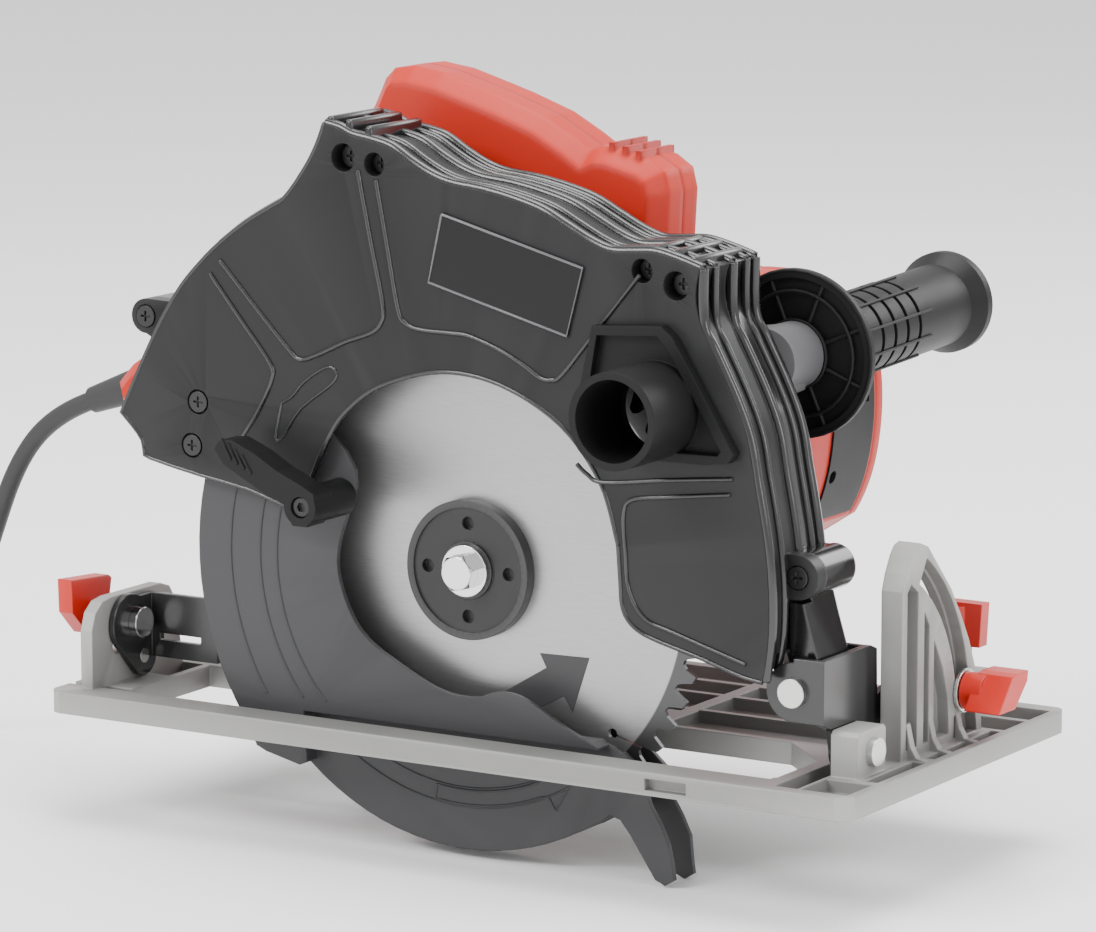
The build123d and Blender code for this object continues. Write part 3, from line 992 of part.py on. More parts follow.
def cord():
    # sleeve at the tail of the handle
    o = Vector(*SLEEVE_AT)
    d = SLEEVE_DIR
    sl = Solid.make_cone(7.4, 5.6, 28.0, Plane(origin=o, z_dir=d))
    sl = sl + Solid.make_cylinder(7.4, 8.0, Plane(origin=o - d * 8.0, z_dir=d))
    save("cord_sleeve", sl)
    end = o + d * 28.0
    z_floor = FLOOR_Z + CORD_D / 2 + 0.3
    pts = [end, end + d * 19.0]
    pts += [Vector(-264.0, HM_Y, 11.5), Vector(-281.0, HM_Y, -30.0), Vector(-296.5, HM_Y, -72.0),
            Vector(-319.0, HM_Y, -98.5), Vector(-351.0, HM_Y, z_floor), Vector(-375.0, HM_Y - 1.0, z_floor)]
    runs = [(b - a).length for a, b in zip(pts, pts[1:])]
    turns, radii = [], []
    for i in range(1, len(pts) - 1):
        a = (pts[i] - pts[i - 1]).normalized()
        b = (pts[i + 1] - pts[i]).normalized()
        ang = math.acos(max(-1, min(1, a.dot(b))))
        turns.append(ang)
        radii.append(0.45 * min(runs[i - 1], runs[i]) / math.tan(ang / 2))
    print("cord radii", [round(r, 1) for r in radii])
    path = []
    cur = pts[0]
    for i, r in enumerate(radii, start=1):
        a = (pts[i] - pts[i - 1]).normalized()
        b = (pts[i + 1] - pts[i]).normalized()
        ang = turns[i - 1]
        tl = r * math.tan(ang / 2)
        p_in, p_out = pts[i] - a * tl, pts[i] + b * tl
        path.append(Edge.make_line(cur, p_in))
        path.append(Edge.make_tangent_arc(p_in, a, p_out))
        cur = p_out
    path.append(Edge.make_line(cur, pts[-1]))
    w = Wire(path)
    tube = sweep(Face(Wire([Edge.make_circle(CORD_D / 2, Plane(origin=pts[0], z_dir=d))])), path=w)
    tube = tube.solid()
    want = math.pi * CORD_D ** 2 / 4 * w.length
    print("cord volume ratio", round(tube.volume / want, 4), "length", round(w.length, 1))
    save("power_cord", tube)
    # coil of the rest of the cord, lying on the floor, drawn as its outer shape
    last = pts[-1]
    lead = (pts[-1] - pts[-2]).normalized()
    cx, cy = -440.0, -7.0
    ring = cyl_z(cx, cy, 66.3, FLOOR_Z, FLOOR_Z + 17.3) - cyl_z(cx, cy, 32.0, FLOOR_Z - 1, FLOOR_Z + 19)
    stub = Solid.make_cylinder(CORD_D / 2, 50.0, Plane(origin=last, z_dir=lead))
    out = cyl_x(cy + 59.8, FLOOR_Z + 13.3, CORD_D / 2, cx - 60.0, cx - 20.0)
    save("cord_coil", one(ring + stub + out))
    px = cx - 60.0
    yp = cy + 59.8
    plug = box(px - 42.0, px, yp - 14.0, yp + 14.0, FLOOR_Z, FLOOR_Z + 26.0)
    plug = plug.chamfer(5.0, None, [e for e in plug.edges() if abs((e % 0.5).X) > 0.9])
    pins = [cyl_x(yp + s * 9.5 * 0.8, FLOOR_Z + 13.0, 2.4, px - 61.0, px - 42.0) for s in (-1, 1)]
    save("plug", one(plug + pins[0] + pins[1]))


upper_guard()
lower_guard()
blade_set()
gears_and_motor()
housings()
sole()
brackets()
fence_clamp()
handle()
controls()
side_handle()
cord()
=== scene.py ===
import math
import bpy
from mathutils import Vector, Matrix


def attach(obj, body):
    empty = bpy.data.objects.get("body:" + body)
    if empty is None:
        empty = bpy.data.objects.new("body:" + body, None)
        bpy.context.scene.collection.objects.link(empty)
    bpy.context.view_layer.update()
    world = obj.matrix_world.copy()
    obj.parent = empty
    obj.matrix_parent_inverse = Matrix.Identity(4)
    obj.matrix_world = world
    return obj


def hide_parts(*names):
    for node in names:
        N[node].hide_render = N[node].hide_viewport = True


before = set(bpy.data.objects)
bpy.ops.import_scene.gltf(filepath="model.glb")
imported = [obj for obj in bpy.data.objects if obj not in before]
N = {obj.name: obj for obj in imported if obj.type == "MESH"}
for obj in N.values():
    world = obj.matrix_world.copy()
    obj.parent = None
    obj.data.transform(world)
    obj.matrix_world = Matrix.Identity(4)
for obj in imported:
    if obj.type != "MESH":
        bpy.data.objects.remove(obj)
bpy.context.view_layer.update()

# The row frame's origin is under the saw; these are the spindle's coordinates in it (metres).
SX, SY, SZ = 0.0030, -0.0625, 0.1145


def S(x, y, z):
    """Millimetres about the spindle to metres in the row frame."""
    return Vector((x / 1000 + SX, y / 1000 + SY, z / 1000 + SZ))


scene = bpy.context.scene

# ---------------------------------------------------------------- camera
cam_data = bpy.data.cameras.new("camera")
cam = bpy.data.objects.new("camera", cam_data)
scene.collection.objects.link(cam)
cam.location = S(1127.14, -1790.95, 413.36)
cam.rotation_euler = (math.radians(80.0), 0.0, math.radians(31.42))
cam_data.lens = 181.5
cam_data.sensor_width = 36.0
cam_data.clip_end = 50.0
cam_data.dof.use_dof = False
scene.camera = cam


# ---------------------------------------------------------------- materials
def material(name, color, rough=0.5, metal=0.0, grain=400.0, bump=0.05, vary=0.12, rough_vary=0.1,
             edge=0.0006, painted_edge_highlight=0.0, spec=0.5, coat=0.0, stretch=(1, 1, 1), dirt=0.0, speckle=0.0,
             detail=3.0):
    m = bpy.data.materials.new(name)
    m.use_nodes = True
    nt = m.node_tree
    n, l = nt.nodes, nt.links
    bsdf = n["Principled BSDF"]
    tc = n.new("ShaderNodeTexCoord")
    mp = n.new("ShaderNodeMapping")
    mp.inputs["Scale"].default_value = stretch
    l.new(tc.outputs["Object"], mp.inputs["Vector"])
    big = n.new("ShaderNodeTexNoise")
    big.inputs["Scale"].default_value = 22.0
    big.inputs["Detail"].default_value = 5.0
    l.new(mp.outputs["Vector"], big.inputs["Vector"])
    fine = n.new("ShaderNodeTexNoise")
    fine.inputs["Scale"].default_value = grain
    fine.inputs["Detail"].default_value = detail
    fine.inputs["Roughness"].default_value = 0.6
    l.new(mp.outputs["Vector"], fine.inputs["Vector"])
    # colour: base, slow variation, fine speckle
    dark = [c * (1 - vary) for c in color]
    light = [min(1.0, c * (1 + vary)) for c in color]
    ramp = n.new("ShaderNodeMix")
    ramp.data_type = "RGBA"
    ramp.inputs[6].default_value = (*dark, 1)
    ramp.inputs[7].default_value = (*light, 1)
    l.new(big.outputs["Fac"], ramp.inputs[0])
    col = ramp.outputs[2]
    if speckle > 0:
        sp = n.new("ShaderNodeMix")
        sp.data_type = "RGBA"
        sp.blend_type = "MULTIPLY"
        sp.inputs[0].default_value = speckle
        l.new(col, sp.inputs[6])
        l.new(fine.outputs["Color"], sp.inputs[7])
        hs = n.new("ShaderNodeHueSaturation")
        hs.inputs["Saturation"].default_value = 1.0
        l.new(sp.outputs[2], hs.inputs["Color"])
        hs.inputs["Value"].default_value = 1.0 + speckle * 0.7
        col = hs.outputs["Color"]
        sat = n.new("ShaderNodeMix")
    # painted highlight: convex edges, found by pointiness, are lightened in the base colour
    if painted_edge_highlight > 0:
        geo = n.new("ShaderNodeNewGeometry")
        wr = n.new("ShaderNodeMapRange")
        wr.inputs["From Min"].default_value = 0.51
        wr.inputs["From Max"].default_value = 0.60
        l.new(geo.outputs["Pointiness"], wr.inputs["Value"])
        mul = n.new("ShaderNodeMath")
        mul.operation = "MULTIPLY"
        mul.inputs[1].default_value = painted_edge_highlight
        l.new(wr.outputs["Result"], mul.inputs[0])
        em = n.new("ShaderNodeMix")
        em.data_type = "RGBA"
        l.new(mul.outputs[0], em.inputs[0])
        l.new(col, em.inputs[6])
        em.inputs[7].default_value = (*[min(1, c * 1.6 + 0.05) for c in color], 1)
        col = em.outputs[2]
    l.new(col, bsdf.inputs["Base Color"])
    rr = n.new("ShaderNodeMapRange")
    rr.inputs["To Min"].default_value = max(0.02, rough - rough_vary)
    rr.inputs["To Max"].default_value = min(1.0, rough + rough_vary)
    l.new(big.outputs["Fac"], rr.inputs["Value"])
    l.new(rr.outputs["Result"], bsdf.inputs["Roughness"])
    bsdf.inputs["Metallic"].default_value = metal
    bsdf.inputs["Specular IOR Level"].default_value = spec
    bsdf.inputs["Coat Weight"].default_value = coat
    bsdf.inputs["Coat Roughness"].default_value = 0.12
    bev = n.new("ShaderNodeBevel")
    bev.samples = 6
    bev.inputs["Radius"].default_value = edge
    bp = n.new("ShaderNodeBump")
    bp.inputs["Strength"].default_value = bump
    bp.inputs["Distance"].default_value = 0.0003
    l.new(fine.outputs["Fac"], bp.inputs["Height"])
    l.new(bev.outputs["Normal"], bp.inputs["Normal"])
    l.new(bp.outputs["Normal"], bsdf.inputs["Normal"])
    return m


# the painted_edge_highlight amounts below set a painted highlight on convex edges
M = {
    "guard": material("guard_plastic", (0.014, 0.014, 0.0148), 0.33, grain=900, bump=0.10, vary=0.10,
                      edge=0.0009, painted_edge_highlight=0.2, spec=0.55),
    "guard_gloss": material("guard_gloss", (0.010, 0.010, 0.0106), 0.16, grain=700, bump=0.03, vary=0.08,
                            rough_vary=0.05, edge=0.0012, spec=0.65),
    "lower": material("lower_guard_coat", (0.030, 0.030, 0.032), 0.42, grain=1200, bump=0.14, vary=0.10,
                      edge=0.0008, painted_edge_highlight=0.25, spec=0.5),
    "black": material("black_plastic", (0.009, 0.009, 0.0095), 0.45, grain=1500, bump=0.25, vary=0.10,
                      edge=0.0006, spec=0.45),
    "steel_black": material("black_steel", (0.006, 0.006, 0.0065), 0.22, grain=500, bump=0.04, vary=0.15,
                            edge=0.0007, painted_edge_highlight=0.2, spec=0.6),
    "screw": material("black_screw", (0.03, 0.03, 0.03), 0.35, metal=0.6, grain=600, bump=0.05),
    "red": material("red_plastic", (0.46, 0.017, 0.006), 0.42, grain=1300, bump=0.10, vary=0.05,
                    rough_vary=0.06, edge=0.0045, painted_edge_highlight=0.0, spec=0.45),
    "red_gloss": material("red_knob", (0.48, 0.014, 0.006), 0.30, grain=1100, bump=0.05, vary=0.05,
                          edge=0.0008, painted_edge_highlight=0.1, spec=0.5),
    "cast": material("cast_sole", (0.235, 0.233, 0.226), 0.50, metal=0.35, grain=1600, bump=0.30, vary=0.08,
                     rough_vary=0.08, edge=0.0009, painted_edge_highlight=0.5, speckle=0.0, spec=0.5),
    "zinc": material("zinc_steel", (0.62, 0.62, 0.60), 0.28, metal=1.0, grain=700, bump=0.06, vary=0.08),
    "chrome": material("chrome_steel", (0.72, 0.72, 0.72), 0.12, metal=1.0, grain=500, bump=0.03, vary=0.05,
                       rough_vary=0.05),
    "bearing": material("bearing_steel", (0.55, 0.55, 0.57), 0.25, metal=1.0, grain=600, bump=0.05),
    "gear": material("gear_steel", (0.35, 0.35, 0.37), 0.35, metal=1.0, grain=600, bump=0.08),
    "case": material("gear_case", (0.12, 0.12, 0.125), 0.50, metal=0.4, grain=1200, bump=0.25, painted_edge_highlight=0.2),
    "brass": material("brass_parts", (0.65, 0.45, 0.15), 0.3, metal=1.0, grain=600, bump=0.05),
    "carbon": material("carbon_blocks", (0.02, 0.02, 0.02), 0.6, grain=900, bump=0.1),
    "lam": material("laminations", (0.10, 0.10, 0.11), 0.45, metal=0.7, grain=600, bump=0.1,
                    stretch=(1, 30, 1)),
    "copper": material("copper_wire", (0.62, 0.24, 0.09), 0.35, metal=0.9, grain=500, bump=0.2,
                       stretch=(1, 8, 1)),
    "rubber": material("cord_rubber", (0.018, 0.018, 0.018), 0.55, grain=1400, bump=0.18, vary=0.12),
    "label": material("label_plate", (0.008, 0.008, 0.0085), 0.30, grain=900, bump=0.04, vary=0.08, spec=0.5),
    "label_rim": material("label_rim", (0.10, 0.10, 0.105), 0.25, grain=900, bump=0.04, vary=0.08),
    "flange": material("dark_flange", (0.035, 0.035, 0.035), 0.38, metal=0.5, grain=900, bump=0.10,
                       painted_edge_highlight=0.3),
    "print": material("blade_print", (0.035, 0.035, 0.037), 0.5, grain=900, bump=0.05),
    "spring": material("spring_wire", (0.45, 0.45, 0.45), 0.3, metal=1.0, grain=500, bump=0.05),
}


def blade_material():
    """Ground steel with a brushed grain and a darker ring at the teeth."""
    m = bpy.data.materials.new("blade_steel")
    m.use_nodes = True
    n, l = m.node_tree.nodes, m.node_tree.links
    bsdf = n["Principled BSDF"]
    tc = n.new("ShaderNodeTexCoord")
    sub = n.new("ShaderNodeVectorMath"); sub.operation = "SUBTRACT"
    sub.inputs[1].default_value = (SX, SY, SZ)
    l.new(tc.outputs["Object"], sub.inputs[0])
    flat = n.new("ShaderNodeVectorMath"); flat.operation = "MULTIPLY"
    flat.inputs[1].default_value = (1, 0, 1)
    l.new(sub.outputs[0], flat.inputs[0])
    ln = n.new("ShaderNodeVectorMath"); ln.operation = "LENGTH"
    l.new(flat.outputs[0], ln.inputs[0])
    ring = n.new("ShaderNodeMapRange")
    ring.inputs["From Min"].default_value = 0.0944
    ring.inputs["From Max"].default_value = 0.0950
    l.new(ln.outputs["Value"], ring.inputs["Value"])
    mp = n.new("ShaderNodeMapping")
    mp.inputs["Rotation"].default_value = (0, math.radians(28), 0)
    mp.inputs["Scale"].default_value = (1.0, 1.0, 40.0)
    l.new(sub.outputs[0], mp.inputs["Vector"])
    fine = n.new("ShaderNodeTexNoise")
    fine.inputs["Scale"].default_value = 90.0
    fine.inputs["Detail"].default_value = 6.0
    fine.inputs["Roughness"].default_value = 0.7
    l.new(mp.outputs["Vector"], fine.inputs["Vector"])
    cr = n.new("ShaderNodeMix"); cr.data_type = "RGBA"
    cr.inputs[6].default_value = (0.26, 0.26, 0.26, 1)
    cr.inputs[7].default_value = (0.52, 0.52, 0.52, 1)
    l.new(fine.outputs["Fac"], cr.inputs[0])
    dk = n.new("ShaderNodeMix"); dk.data_type = "RGBA"
    l.new(ring.outputs["Result"], dk.inputs[0])
    l.new(cr.outputs[2], dk.inputs[6])
    dk.inputs[7].default_value = (0.09, 0.09, 0.092, 1)
    l.new(dk.outputs[2], bsdf.inputs["Base Color"])
    rr = n.new("ShaderNodeMapRange")
    rr.inputs["To Min"].default_value = 0.30
    rr.inputs["To Max"].default_value = 0.46
    l.new(fine.outputs["Fac"], rr.inputs["Value"])
    l.new(rr.outputs["Result"], bsdf.inputs["Roughness"])
    bsdf.inputs["Metallic"].default_value = 0.92
    bsdf.inputs["Anisotropic"].default_value = 0.5
    bp = n.new("ShaderNodeBump")
    bp.inputs["Strength"].default_value = 0.12
    bp.inputs["Distance"].default_value = 0.0002
    l.new(fine.outputs["Fac"], bp.inputs["Height"])
    l.new(bp.outputs["Normal"], bsdf.inputs["Normal"])
    return m


M["blade"] = blade_material()
for key, level in (("guard", 0.14), ("lower", 0.26), ("black", 0.16), ("red", 0.25), ("red_gloss", 0.35),
                   ("label", 0.22), ("flange", 0.3), ("cast", 0.35)):
    M[key].node_tree.nodes["Principled BSDF"].inputs["Specular IOR Level"].default_value = level

LOOK = {
    "sole_plate": "cast", "bevel_hinge_pins": "zinc", "fence_clamp_screw": "zinc", "fence_clamp_knob": "red_gloss",
    "front_bracket": "steel_black", "rear_bracket": "steel_black", "depth_guide": "zinc",
    "depth_pivot_bolt": "zinc", "front_bevel_bolt": "zinc", "front_bevel_washer": "zinc",
    "rear_bevel_bolt": "chrome", "front_bevel_wing_nut": "red_gloss", "rear_bevel_wing_nut": "red_gloss",
    "depth_lock_bolt": "zinc", "depth_lock_lever": "red_gloss", "upper_guard_cover": "guard",
    "upper_guard_housing": "guard_gloss", "guard_screws": "screw", "dust_port": "black", "label_plate": "label",
    "gear_housing": "case", "motor_housing": "red", "motor_end_cap": "red", "motor_screws": "zinc",
    "brush_cover": "black", "brush_holders": "brass", "carbon_brushes": "carbon", "stator_core": "lam",
    "field_coils": "copper", "motor_bearings": "bearing", "spindle_bearings": "bearing",
    "handle_half_near": "red", "handle_half_far": "red", "handle_screws": "zinc", "switch_body": "black",
    "side_handle": "black", "side_handle_stud": "zinc", "cord_sleeve": "rubber", "power_cord": "rubber",
    "cord_coil": "rubber", "plug": "rubber", "guard_return_spring": "spring", "spindle": "bearing",
    "driven_gear": "gear", "inner_flange": "gear", "saw_blade": "blade", "outer_flange": "flange",
    "arbor_bolt": "chrome", "armature_shaft": "gear", "armature_core": "lam", "armature_windings": "copper",
    "commutator": "copper", "cooling_fan": "black", "lower_guard": "lower", "guard_lever": "black",
    "guard_lever_screw": "screw", "trigger": "black", "lock_off_button": "black", "spindle_lock_button": "black",
}
for name, o in N.items():
    o.data.materials.clear()
    o.data.materials.append(M[LOOK[name]])
    for p in o.data.polygons:
        p.material_index = 0


# ---------------------------------------------------------------- mesh makers
def make(name, verts, faces, mat, body, smooth=30.0, bevel=0.0, seg=2):
    me = bpy.data.meshes.new(name)
    me.from_pydata([tuple(v) for v in verts], [], faces)
    me.validate()
    me.update()
    o = bpy.data.objects.new(name, me)
    scene.collection.objects.link(o)
    me.materials.append(M[mat])
    if smooth:
        for p in me.polygons:
            p.use_smooth = True
        me.set_sharp_from_angle(angle=math.radians(smooth))
    if bevel > 0:
        b = o.modifiers.new("bevel", "BEVEL")
        b.width = bevel / 1000
        b.segments = seg
        b.limit_method = "ANGLE"
        b.angle_limit = math.radians(35)
    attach(o, body)
    return o


def tube(name, pts, r, mat, body, closed=False, sides=8, flat=1.0):
    """Round bead along a polyline in mm about the spindle."""
    P = [Vector(p) for p in pts]
    n = len(P)
    verts, faces = [], []
    up = Vector((0, 1, 0))
    for i in range(n):
        if closed:
            t = (P[(i + 1) % n] - P[i - 1]).normalized()
        else:
            t = (P[min(i + 1, n - 1)] - P[max(i - 1, 0)]).normalized()
        a = up if abs(t.dot(up)) < 0.9 else Vector((1, 0, 0))
        u = (a - t * a.dot(t)).normalized()
        v = t.cross(u)
        for k in range(sides):
            c, s = math.cos(2 * math.pi * k / sides), math.sin(2 * math.pi * k / sides)
            verts.append(S(*(P[i] + u * (c * r * flat) + v * (s * r))))
    m = n if closed else n - 1
    for i in range(m):
        for k in range(sides):
            a, b = i * sides + k, i * sides + (k + 1) % sides
            j = (i + 1) % n
            faces.append((a, b, j * sides + (k + 1) % sides, j * sides + k))
    if not closed:
        faces.append(tuple(reversed(range(sides))))
        faces.append(tuple((n - 1) * sides + k for k in range(sides)))
    return make(name, verts, faces, mat, body, smooth=60)


def prism(name, poly, y0, y1, mat, body, bevel=0.4, inset=0.0):
    """Plate of an (x, z) polygon between two Y planes, in mm about the spindle."""
    n = len(poly)
    verts = [S(x, y0, z) for x, z in poly] + [S(x, y1, z) for x, z in poly]
    faces = [tuple(range(n)), tuple(reversed(range(n, 2 * n)))]
    faces += [(i, i + n, (i + 1) % n + n, (i + 1) % n) for i in range(n)]
    return make(name, verts, faces, mat, body, bevel=bevel)


def smooth_line(pts, per=6):
    """Catmull-Rom through (x, z) points."""
    out = []
    n = len(pts)
    for i in range(n - 1):
        p0 = pts[max(i - 1, 0)]; p1 = pts[i]; p2 = pts[i + 1]; p3 = pts[min(i + 2, n - 1)]
        for k in range(per):
            t = k / per
            out.append(tuple(
                0.5 * ((2 * b) + (-a + c) * t + (2 * a - 5 * b + 4 * c - d) * t * t + (-a + 3 * b - 3 * c + d) * t ** 3)
                for a, b, c, d in zip(p0, p1, p2, p3)))
    out.append(tuple(pts[-1]))
    return out


def arc(r, d0, d1, n=40, cx=0.0, cz=0.0):
    return [(cx + r * math.cos(math.radians(d0 + (d1 - d0) * i / n)),
             cz + r * math.sin(math.radians(d0 + (d1 - d0) * i / n))) for i in range(n + 1)]


def at_y(pts, y):
    return [(x, y, z) for x, z in pts]


# ---------------------------------------------------------------- upper guard detail
TAIL = [(-152.6, 51.6), (-143.0, 71.0), (-133.0, 89.4), (-123.1, 104.2), (-113.3, 114.8), (-104.6, 122.6),
        (-94.1, 130.4), (-84.6, 136.2), (-74.6, 141.6)]
RISE = [(-74.6, 141.6), (-70.3, 146.2), (-65.6, 152.3), (-60.9, 159.2), (-57.1, 166.5), (-54.6, 172.9)]
CREST = [(-54.6, 172.9), (-48.0, 171.6), (-42.2, 169.3), (-32.1, 167.6), (-23.9, 165.4), (-14.8, 160.2),
         (-5.7, 155.8), (3.3, 153.3), (16.8, 151.8), (30.2, 149.3), (43.6, 145.6), (54.6, 140.3),
         (65.6, 135.0), (74.4, 132.4), (85.3, 132.9), (94.0, 133.2), (104.8, 130.8), (113.4, 128.2)]
FRONT = [(113.4, 128.2), (113.8, 107.5), (118.7, 98.0), (128.0, 80.5), (134.0, 66.0), (137.0, 51.0),
         (140.0, 36.0), (142.4, 21.2), (143.6, 6.1), (143.4, -9.1), (141.0, -25.7)]
OPENING = [(78.2, 20.5), (70.2, 44.0), (52.5, 64.4), (25.7, 77.5), (-1.5, 80.3), (-29.1, 72.5), (-45.4, 60.9),
           (-54.0, 49.0), (-62.0, 32.5), (-66.8, 22.1)]
TOE = [(141.0, -25.7), (131.5, -24.2), (114.2, -19.2), (96.7, -14.9), (88.0, -12.0), (82.7, -8.0),
       (80.0, -2.4), (79.2, 7.2), (78.2, 20.5)]
HEEL = [(-66.8, 22.1), (-71.6, 20.4), (-90.5, 25.8), (-114.5, 29.6), (-138.7, 34.2), (-141.6, 36.4),
        (-142.5, 41.2), (-147.3, 46.8), (-152.6, 51.6)]

# rolled rims across the guard's top and front
for i, y in enumerate((-20.5, -11.5, 1.5, 12.0, 18.5)):
    r = 2.3 if i in (0, 2, 4) else 1.7
    line = smooth_line(TAIL[5:], 4)[:-1] + smooth_line(RISE, 4)
    tube(f"guard_rim_rear_{i}", at_y(line, y), r * 0.75, "guard_gloss", "saw_body")
    tube(f"guard_rim_top_{i}", at_y(smooth_line(CREST, 5), y), r, "guard_gloss", "saw_body")
    tube(f"guard_rim_front_{i}", at_y(smooth_line(FRONT, 5), y), r, "guard_gloss", "saw_body")
# near edge bead round the cover
edge = smooth_line(HEEL, 2)[:-1] + smooth_line(TAIL, 5)[:-1] + smooth_line(RISE, 4)
tube("guard_edge_tail", at_y(edge, -22.6), 0.9, "guard_gloss", "saw_body")
tube("guard_edge_opening", at_y(smooth_line(OPENING, 6), -22.7), 1.0, "guard_gloss", "saw_body")
tube("guard_edge_toe", at_y(smooth_line(TOE, 5), -22.7), 1.0, "guard_gloss", "saw_body")

# short ribs over the two peaks
for i, (x, z) in enumerate([(-52.5, 173.6), (-44.0, 172.6), (-35.0, 170.6)]):
    prism(f"peak_rib_rear_{i}", [(x - 2.0, z - 4), (x + 2.0, z - 4), (x + 1.4, z + 2.2), (x - 1.4, z + 2.4)],
          -21.5, 15.0, "guard_gloss", "saw_body", bevel=0.9)
for i, (x, z) in enumerate([(92.0, 133.2), (100.5, 132.2), (109.0, 130.0)]):
    prism(f"peak_rib_front_{i}", [(x - 2.0, z - 4), (x + 2.0, z - 4), (x + 1.4, z + 2.2), (x - 1.4, z + 2.4)],
          -21.5, 15.0, "guard_gloss", "saw_body", bevel=0.9)

# raised panel lines on the face
LINES = {
    "a": [(-38.7, 156.0), (-33.0, 129.0), (-27.5, 104.5), (-28.6, 97.0), (-33.5, 92.8), (-45.2, 88.4),
          (-58.0, 82.4), (-66.3, 80.0), (-72.6, 84.6), (-88.0, 100.0), (-103.8, 116.3)],
    "b": [(-30.4, 152.6), (-25.5, 128.0), (-20.6, 103.4), (-17.0, 98.0), (-10.0, 96.0), (3.1, 95.8), (12.2, 95.3),
          (25.7, 91.0), (36.0, 86.2), (43.6, 81.9), (48.5, 81.4), (53.5, 84.0), (70.0, 103.5), (87.5, 124.4)],
    "rear": [(-108.6, 110.8), (-94.0, 93.5), (-80.5, 77.5), (-79.6, 71.0), (-86.0, 58.0), (-91.0, 51.0), (-95.1, 45.4)],
}
for k, pts in LINES.items():
    tube(f"guard_line_{k}", at_y(smooth_line(pts, 5), -23.0), 0.95, "guard_gloss", "saw_body")

# generic turning arrow moulded beside the opening
ARROW = [(-75.0, 62.0), (-78.0, 47.5), (-73.8, 49.6), (-66.0, 60.5), (-52.0, 71.0), (-49.0, 76.0), (-53.5, 78.0),
         (-64.0, 71.5), (-70.0, 65.0)]
tube("guard_arrow", at_y(smooth_line(ARROW + [ARROW[0]], 3), -23.0), 0.6, "guard_gloss", "saw_body")

# lower front panel lines
tube("guard_line_port", at_y(smooth_line([(60.0, 50.0), (64.5, 46.5), (72.0, 44.0), (100.0, 47.5), (128.0, 50.5)], 5),
                             -23.0), 0.9, "guard_gloss", "saw_body")
tube("guard_line_low", at_y(smooth_line([(127.0, 44.5), (100.0, 41.0), (84.0, 38.4), (80.6, 32.0), (81.5, 18.0),
                                         (83.0, 4.0), (90.0, -6.5), (104.0, -11.0), (134.0, -19.5)], 5), -23.0), 0.9,
     "guard_gloss", "saw_body")

# label plate rim
LBL = [(0.1, 141.5), (63.0, 125.3), (56.0, 98.8), (-5.9, 114.8)]
tube("label_rim", at_y(LBL + [LBL[0]], -24.0), 0.55, "label_rim", "saw_body")

# ---------------------------------------------------------------- lower guard detail
for i, (r, d0, d1) in enumerate([(104.0, 150, 213), (90.0, 158, 219), (82.0, 165, 224)]):
    tube(f"lower_guard_ring_{i}", at_y(arc(r, d0, d1, 40), -17.0), 0.45, "lower", "lower_guard")
for i, (r, d0, d1) in enumerate([(93.5, 226, 301), (86.0, 232, 300)]):
    tube(f"lower_guard_low_ring_{i}", at_y(arc(r, d0, d1, 40), -9.4), 0.5, "lower", "lower_guard")
AR = arc(87.0, 262, 293, 12) + [(38.0, -74.0), (49.5, -78.0), (42.5, -90.0), (39.5, -85.6)] \
    + list(reversed(arc(92.8, 262, 293, 12)))
tube("lower_guard_arrow", at_y(AR + [AR[0]], -9.4), 0.5, "lower", "lower_guard")

# ---------------------------------------------------------------- retracting lever grip ribs
for i in range(4):
    t = i / 3
    x, z = -86.0 + 9.5 * t, 46.6 - 4.6 * t
    tube(f"lever_rib_{i}", [(x - 2.0, -46.0, z + 3.4 - 0.4 * i), (x + 2.4, -46.0, z - 4.6)], 0.7, "black", "lower_guard")

# ---------------------------------------------------------------- side handle detail
TILT = math.radians(2.2)
HX, HY, HZ = 117.4, 43.0, 88.0


def H(r, ang, a):
    """Point at radius r, angle ang (degrees) and distance a along the side handle's axis."""
    c, s = math.cos(math.radians(ang)), math.sin(math.radians(ang))
    ax = Vector((0, math.cos(TILT), math.sin(TILT)))
    u = Vector((1, 0, 0))
    v = ax.cross(u) * -1
    p = Vector((HX, HY, HZ)) + ax * a + u * (r * c) + v * (r * s)
    return tuple(p)


for i in range(8):
    g = 22.5 + 45 * i
    tube(f"disc_web_{i}", [H(13.0, g, 2.4), H(29.5, g, 2.8)], 0.9, "black", "saw_body", flat=1.2)
for i, r in enumerate((13.2, 24.5, 32.4)):
    tube(f"disc_ring_{i}", [H(r, 10 * k, 1.6 if i else 0.8) for k in range(36)], 0.8, "black", "saw_body", closed=True)
for i in range(10):
    g = 18 + 36 * i
    tube(f"grip_bead_{i}", [H(16.9, g, 24.0 + 1.5 * k) for k in range(40)], 0.6, "black", "saw_body")

# ---------------------------------------------------------------- generic arrow on the blade
BA = [(14.0, -47.5), (33.0, -36.0), (30.0, -30.5), (52.5, -30.0), (45.0, -52.5), (41.0, -46.5), (24.0, -55.5)]
BA = [(x, z) for x, z in BA]
prism("blade_arrow", BA, -1.06, -1.0, "print", "arbor", bevel=0.0)

# ---------------------------------------------------------------- cord
def spline(name, pts, r, mat):
    cu = bpy.data.curves.new(name, "CURVE")
    cu.dimensions = "3D"
    cu.bevel_depth = r / 1000
    cu.bevel_resolution = 5
    cu.resolution_u = 8
    cu.use_fill_caps = True
    sp = cu.splines.new("NURBS")
    sp.points.add(len(pts) - 1)
    for q, p in zip(sp.points, pts):
        q.co = (*S(*p), 1.0)
    sp.order_u = 3
    sp.use_endpoint_u = True
    o = bpy.data.objects.new(name, cu)
    scene.collection.objects.link(o)
    cu.materials.append(M[mat])
    return o


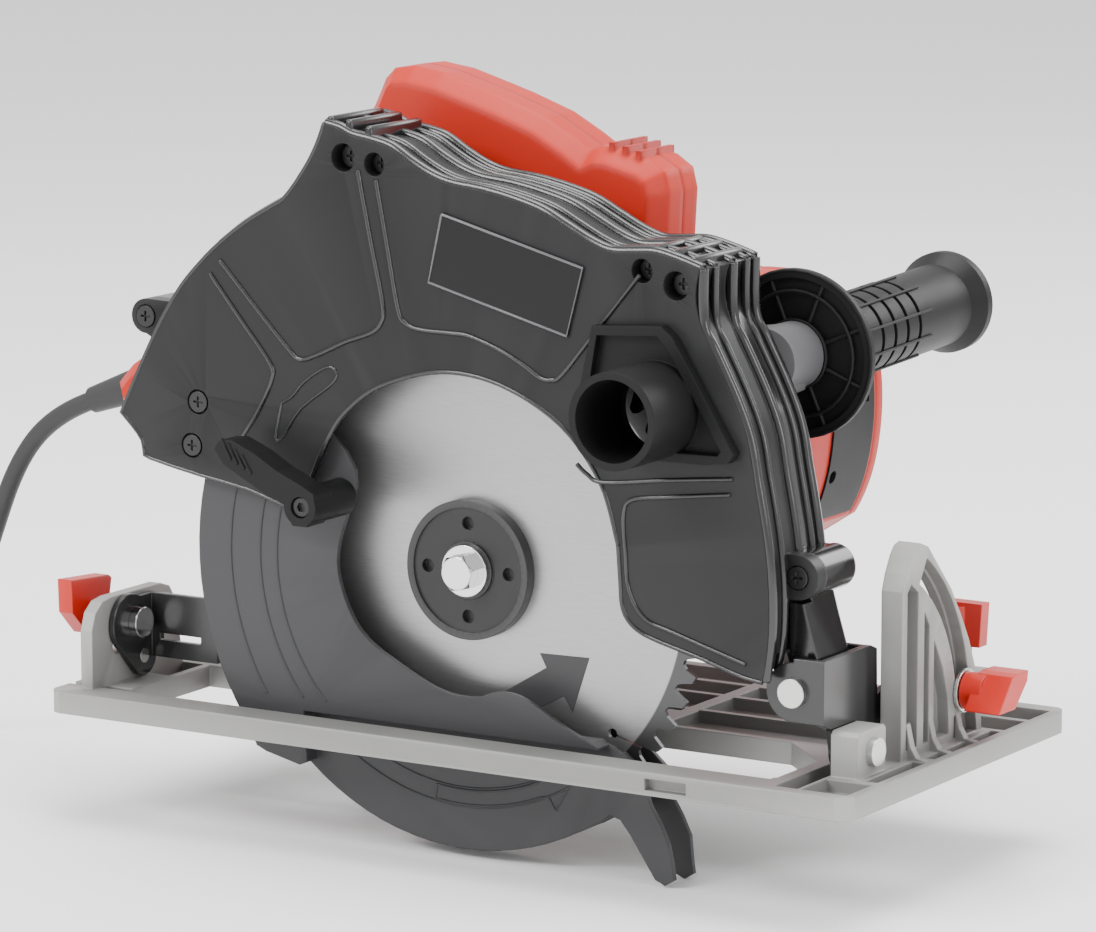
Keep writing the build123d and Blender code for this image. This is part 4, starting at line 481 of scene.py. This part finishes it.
def curve_length(pts):
    """Length of the order-3 spline through the control polygon, in metres."""
    total, prev = 0.0, None
    n = len(pts)
    mids = [pts[0]] + [(pts[i] + pts[i + 1]) / 2 for i in range(1, n - 2)] + [pts[-1]]
    for i in range(n - 2):
        a, b, c = mids[i], pts[i + 1], mids[i + 1]
        for k in range(17):
            t = k / 16
            p = a * (1 - t) ** 2 + b * 2 * t * (1 - t) + c * t * t
            if prev is not None:
                total += (p - prev).length
            prev = p
    return total / 1000


def cord_points():
    """Control points of the whole cord in mm about the spindle, from the sleeve's tip to the plug."""
    d = Vector((-0.94, 0, -0.342)).normalized()
    end = Vector((-198.0, 57.0, 48.8)) + d * 28.0
    f = -114.5 + 4.0 + 0.3
    pts = [end, end + d * 19.0, Vector((-264, 57, 11.5)), Vector((-281, 57, -30)), Vector((-296.5, 57, -72)),
           Vector((-319, 57, -98.5)), Vector((-351, 57, f)), Vector((-375, 56, f)), Vector((-408, 55.3, f))]
    cx, cy = -440.0, -7.0
    per = 16
    n = int(6 * per)
    for k in range(0, n + 1):
        t = k / per
        a = math.pi / 2 + 2 * math.pi * t
        if t <= 3.0:
            r, z = 62.0 - 8.5 * t, 0.0
        elif t <= 3.3:
            u = (t - 3.0) / 0.3
            r, z = 36.5 - u, 9.0 * u * u * (3 - 2 * u)
        else:
            r, z = 35.5 + 9.0 * (t - 3.3), 9.0
        k2 = r / math.cos(math.pi / per) if 0 < k < n else r
        pts.append(Vector((cx + k2 * math.cos(a), cy + k2 * math.sin(a), f + z)))
    last = pts[-1]
    pts.append(Vector((cx - 22.0, last.y, f + 9.0)))
    pts.append(Vector((cx - 42.0, last.y, f + 9.0)))
    pts.append(Vector((cx - 60.0, last.y, f + 9.0)))
    return pts


CP = cord_points()
cord_obj = spline("cord", CP, 4.0, "rubber")
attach(cord_obj, "saw_body")
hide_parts("power_cord", "cord_coil")
round(curve_length(CP), 3)


# ---------------------------------------------------------------- floor and light
fm = material("floor_paper", (0.93, 0.93, 0.93), 0.75, grain=60, bump=0.02, vary=0.01, rough_vary=0.04, spec=0.3)
me = bpy.data.meshes.new("floor")
me.from_pydata([(-8, -6, 0), (8, -6, 0), (8, 12, 0), (-8, 12, 0)], [], [(0, 1, 2, 3)])
floor = bpy.data.objects.new("floor", me)
me.materials.append(fm)
scene.collection.objects.link(floor)

world = bpy.data.worlds.new("studio")
scene.world = world
world.use_nodes = True
bg = world.node_tree.nodes["Background"]
bg.inputs["Color"].default_value = (1.0, 1.0, 1.0, 1)
bg.inputs["Strength"].default_value = 1.25


def area(name, loc, aim, size, power, color=(1, 1, 1)):
    d = bpy.data.lights.new(name, "AREA")
    d.shape = "RECTANGLE"
    d.size, d.size_y = size
    d.energy = power
    d.color = color
    o = bpy.data.objects.new(name, d)
    scene.collection.objects.link(o)
    o.location = loc
    o.rotation_euler = (Vector(aim) - Vector(loc)).to_track_quat("-Z", "Y").to_euler()
    return o


area("key", (-0.9, -1.7, 1.5), (0.0, 0, 0.12), (1.0, 0.8), 44.0)
area("top", (0.1, 0.2, 1.9), (0.0, 0, 0.1), (1.6, 1.0), 46.0)
area("right", (1.9, -0.5, 0.9), (0.05, 0, 0.12), (0.6, 1.2), 16.0)
area("rim", (0.7, 1.9, 1.1), (0.0, 0, 0.15), (1.2, 0.8), 18.0)
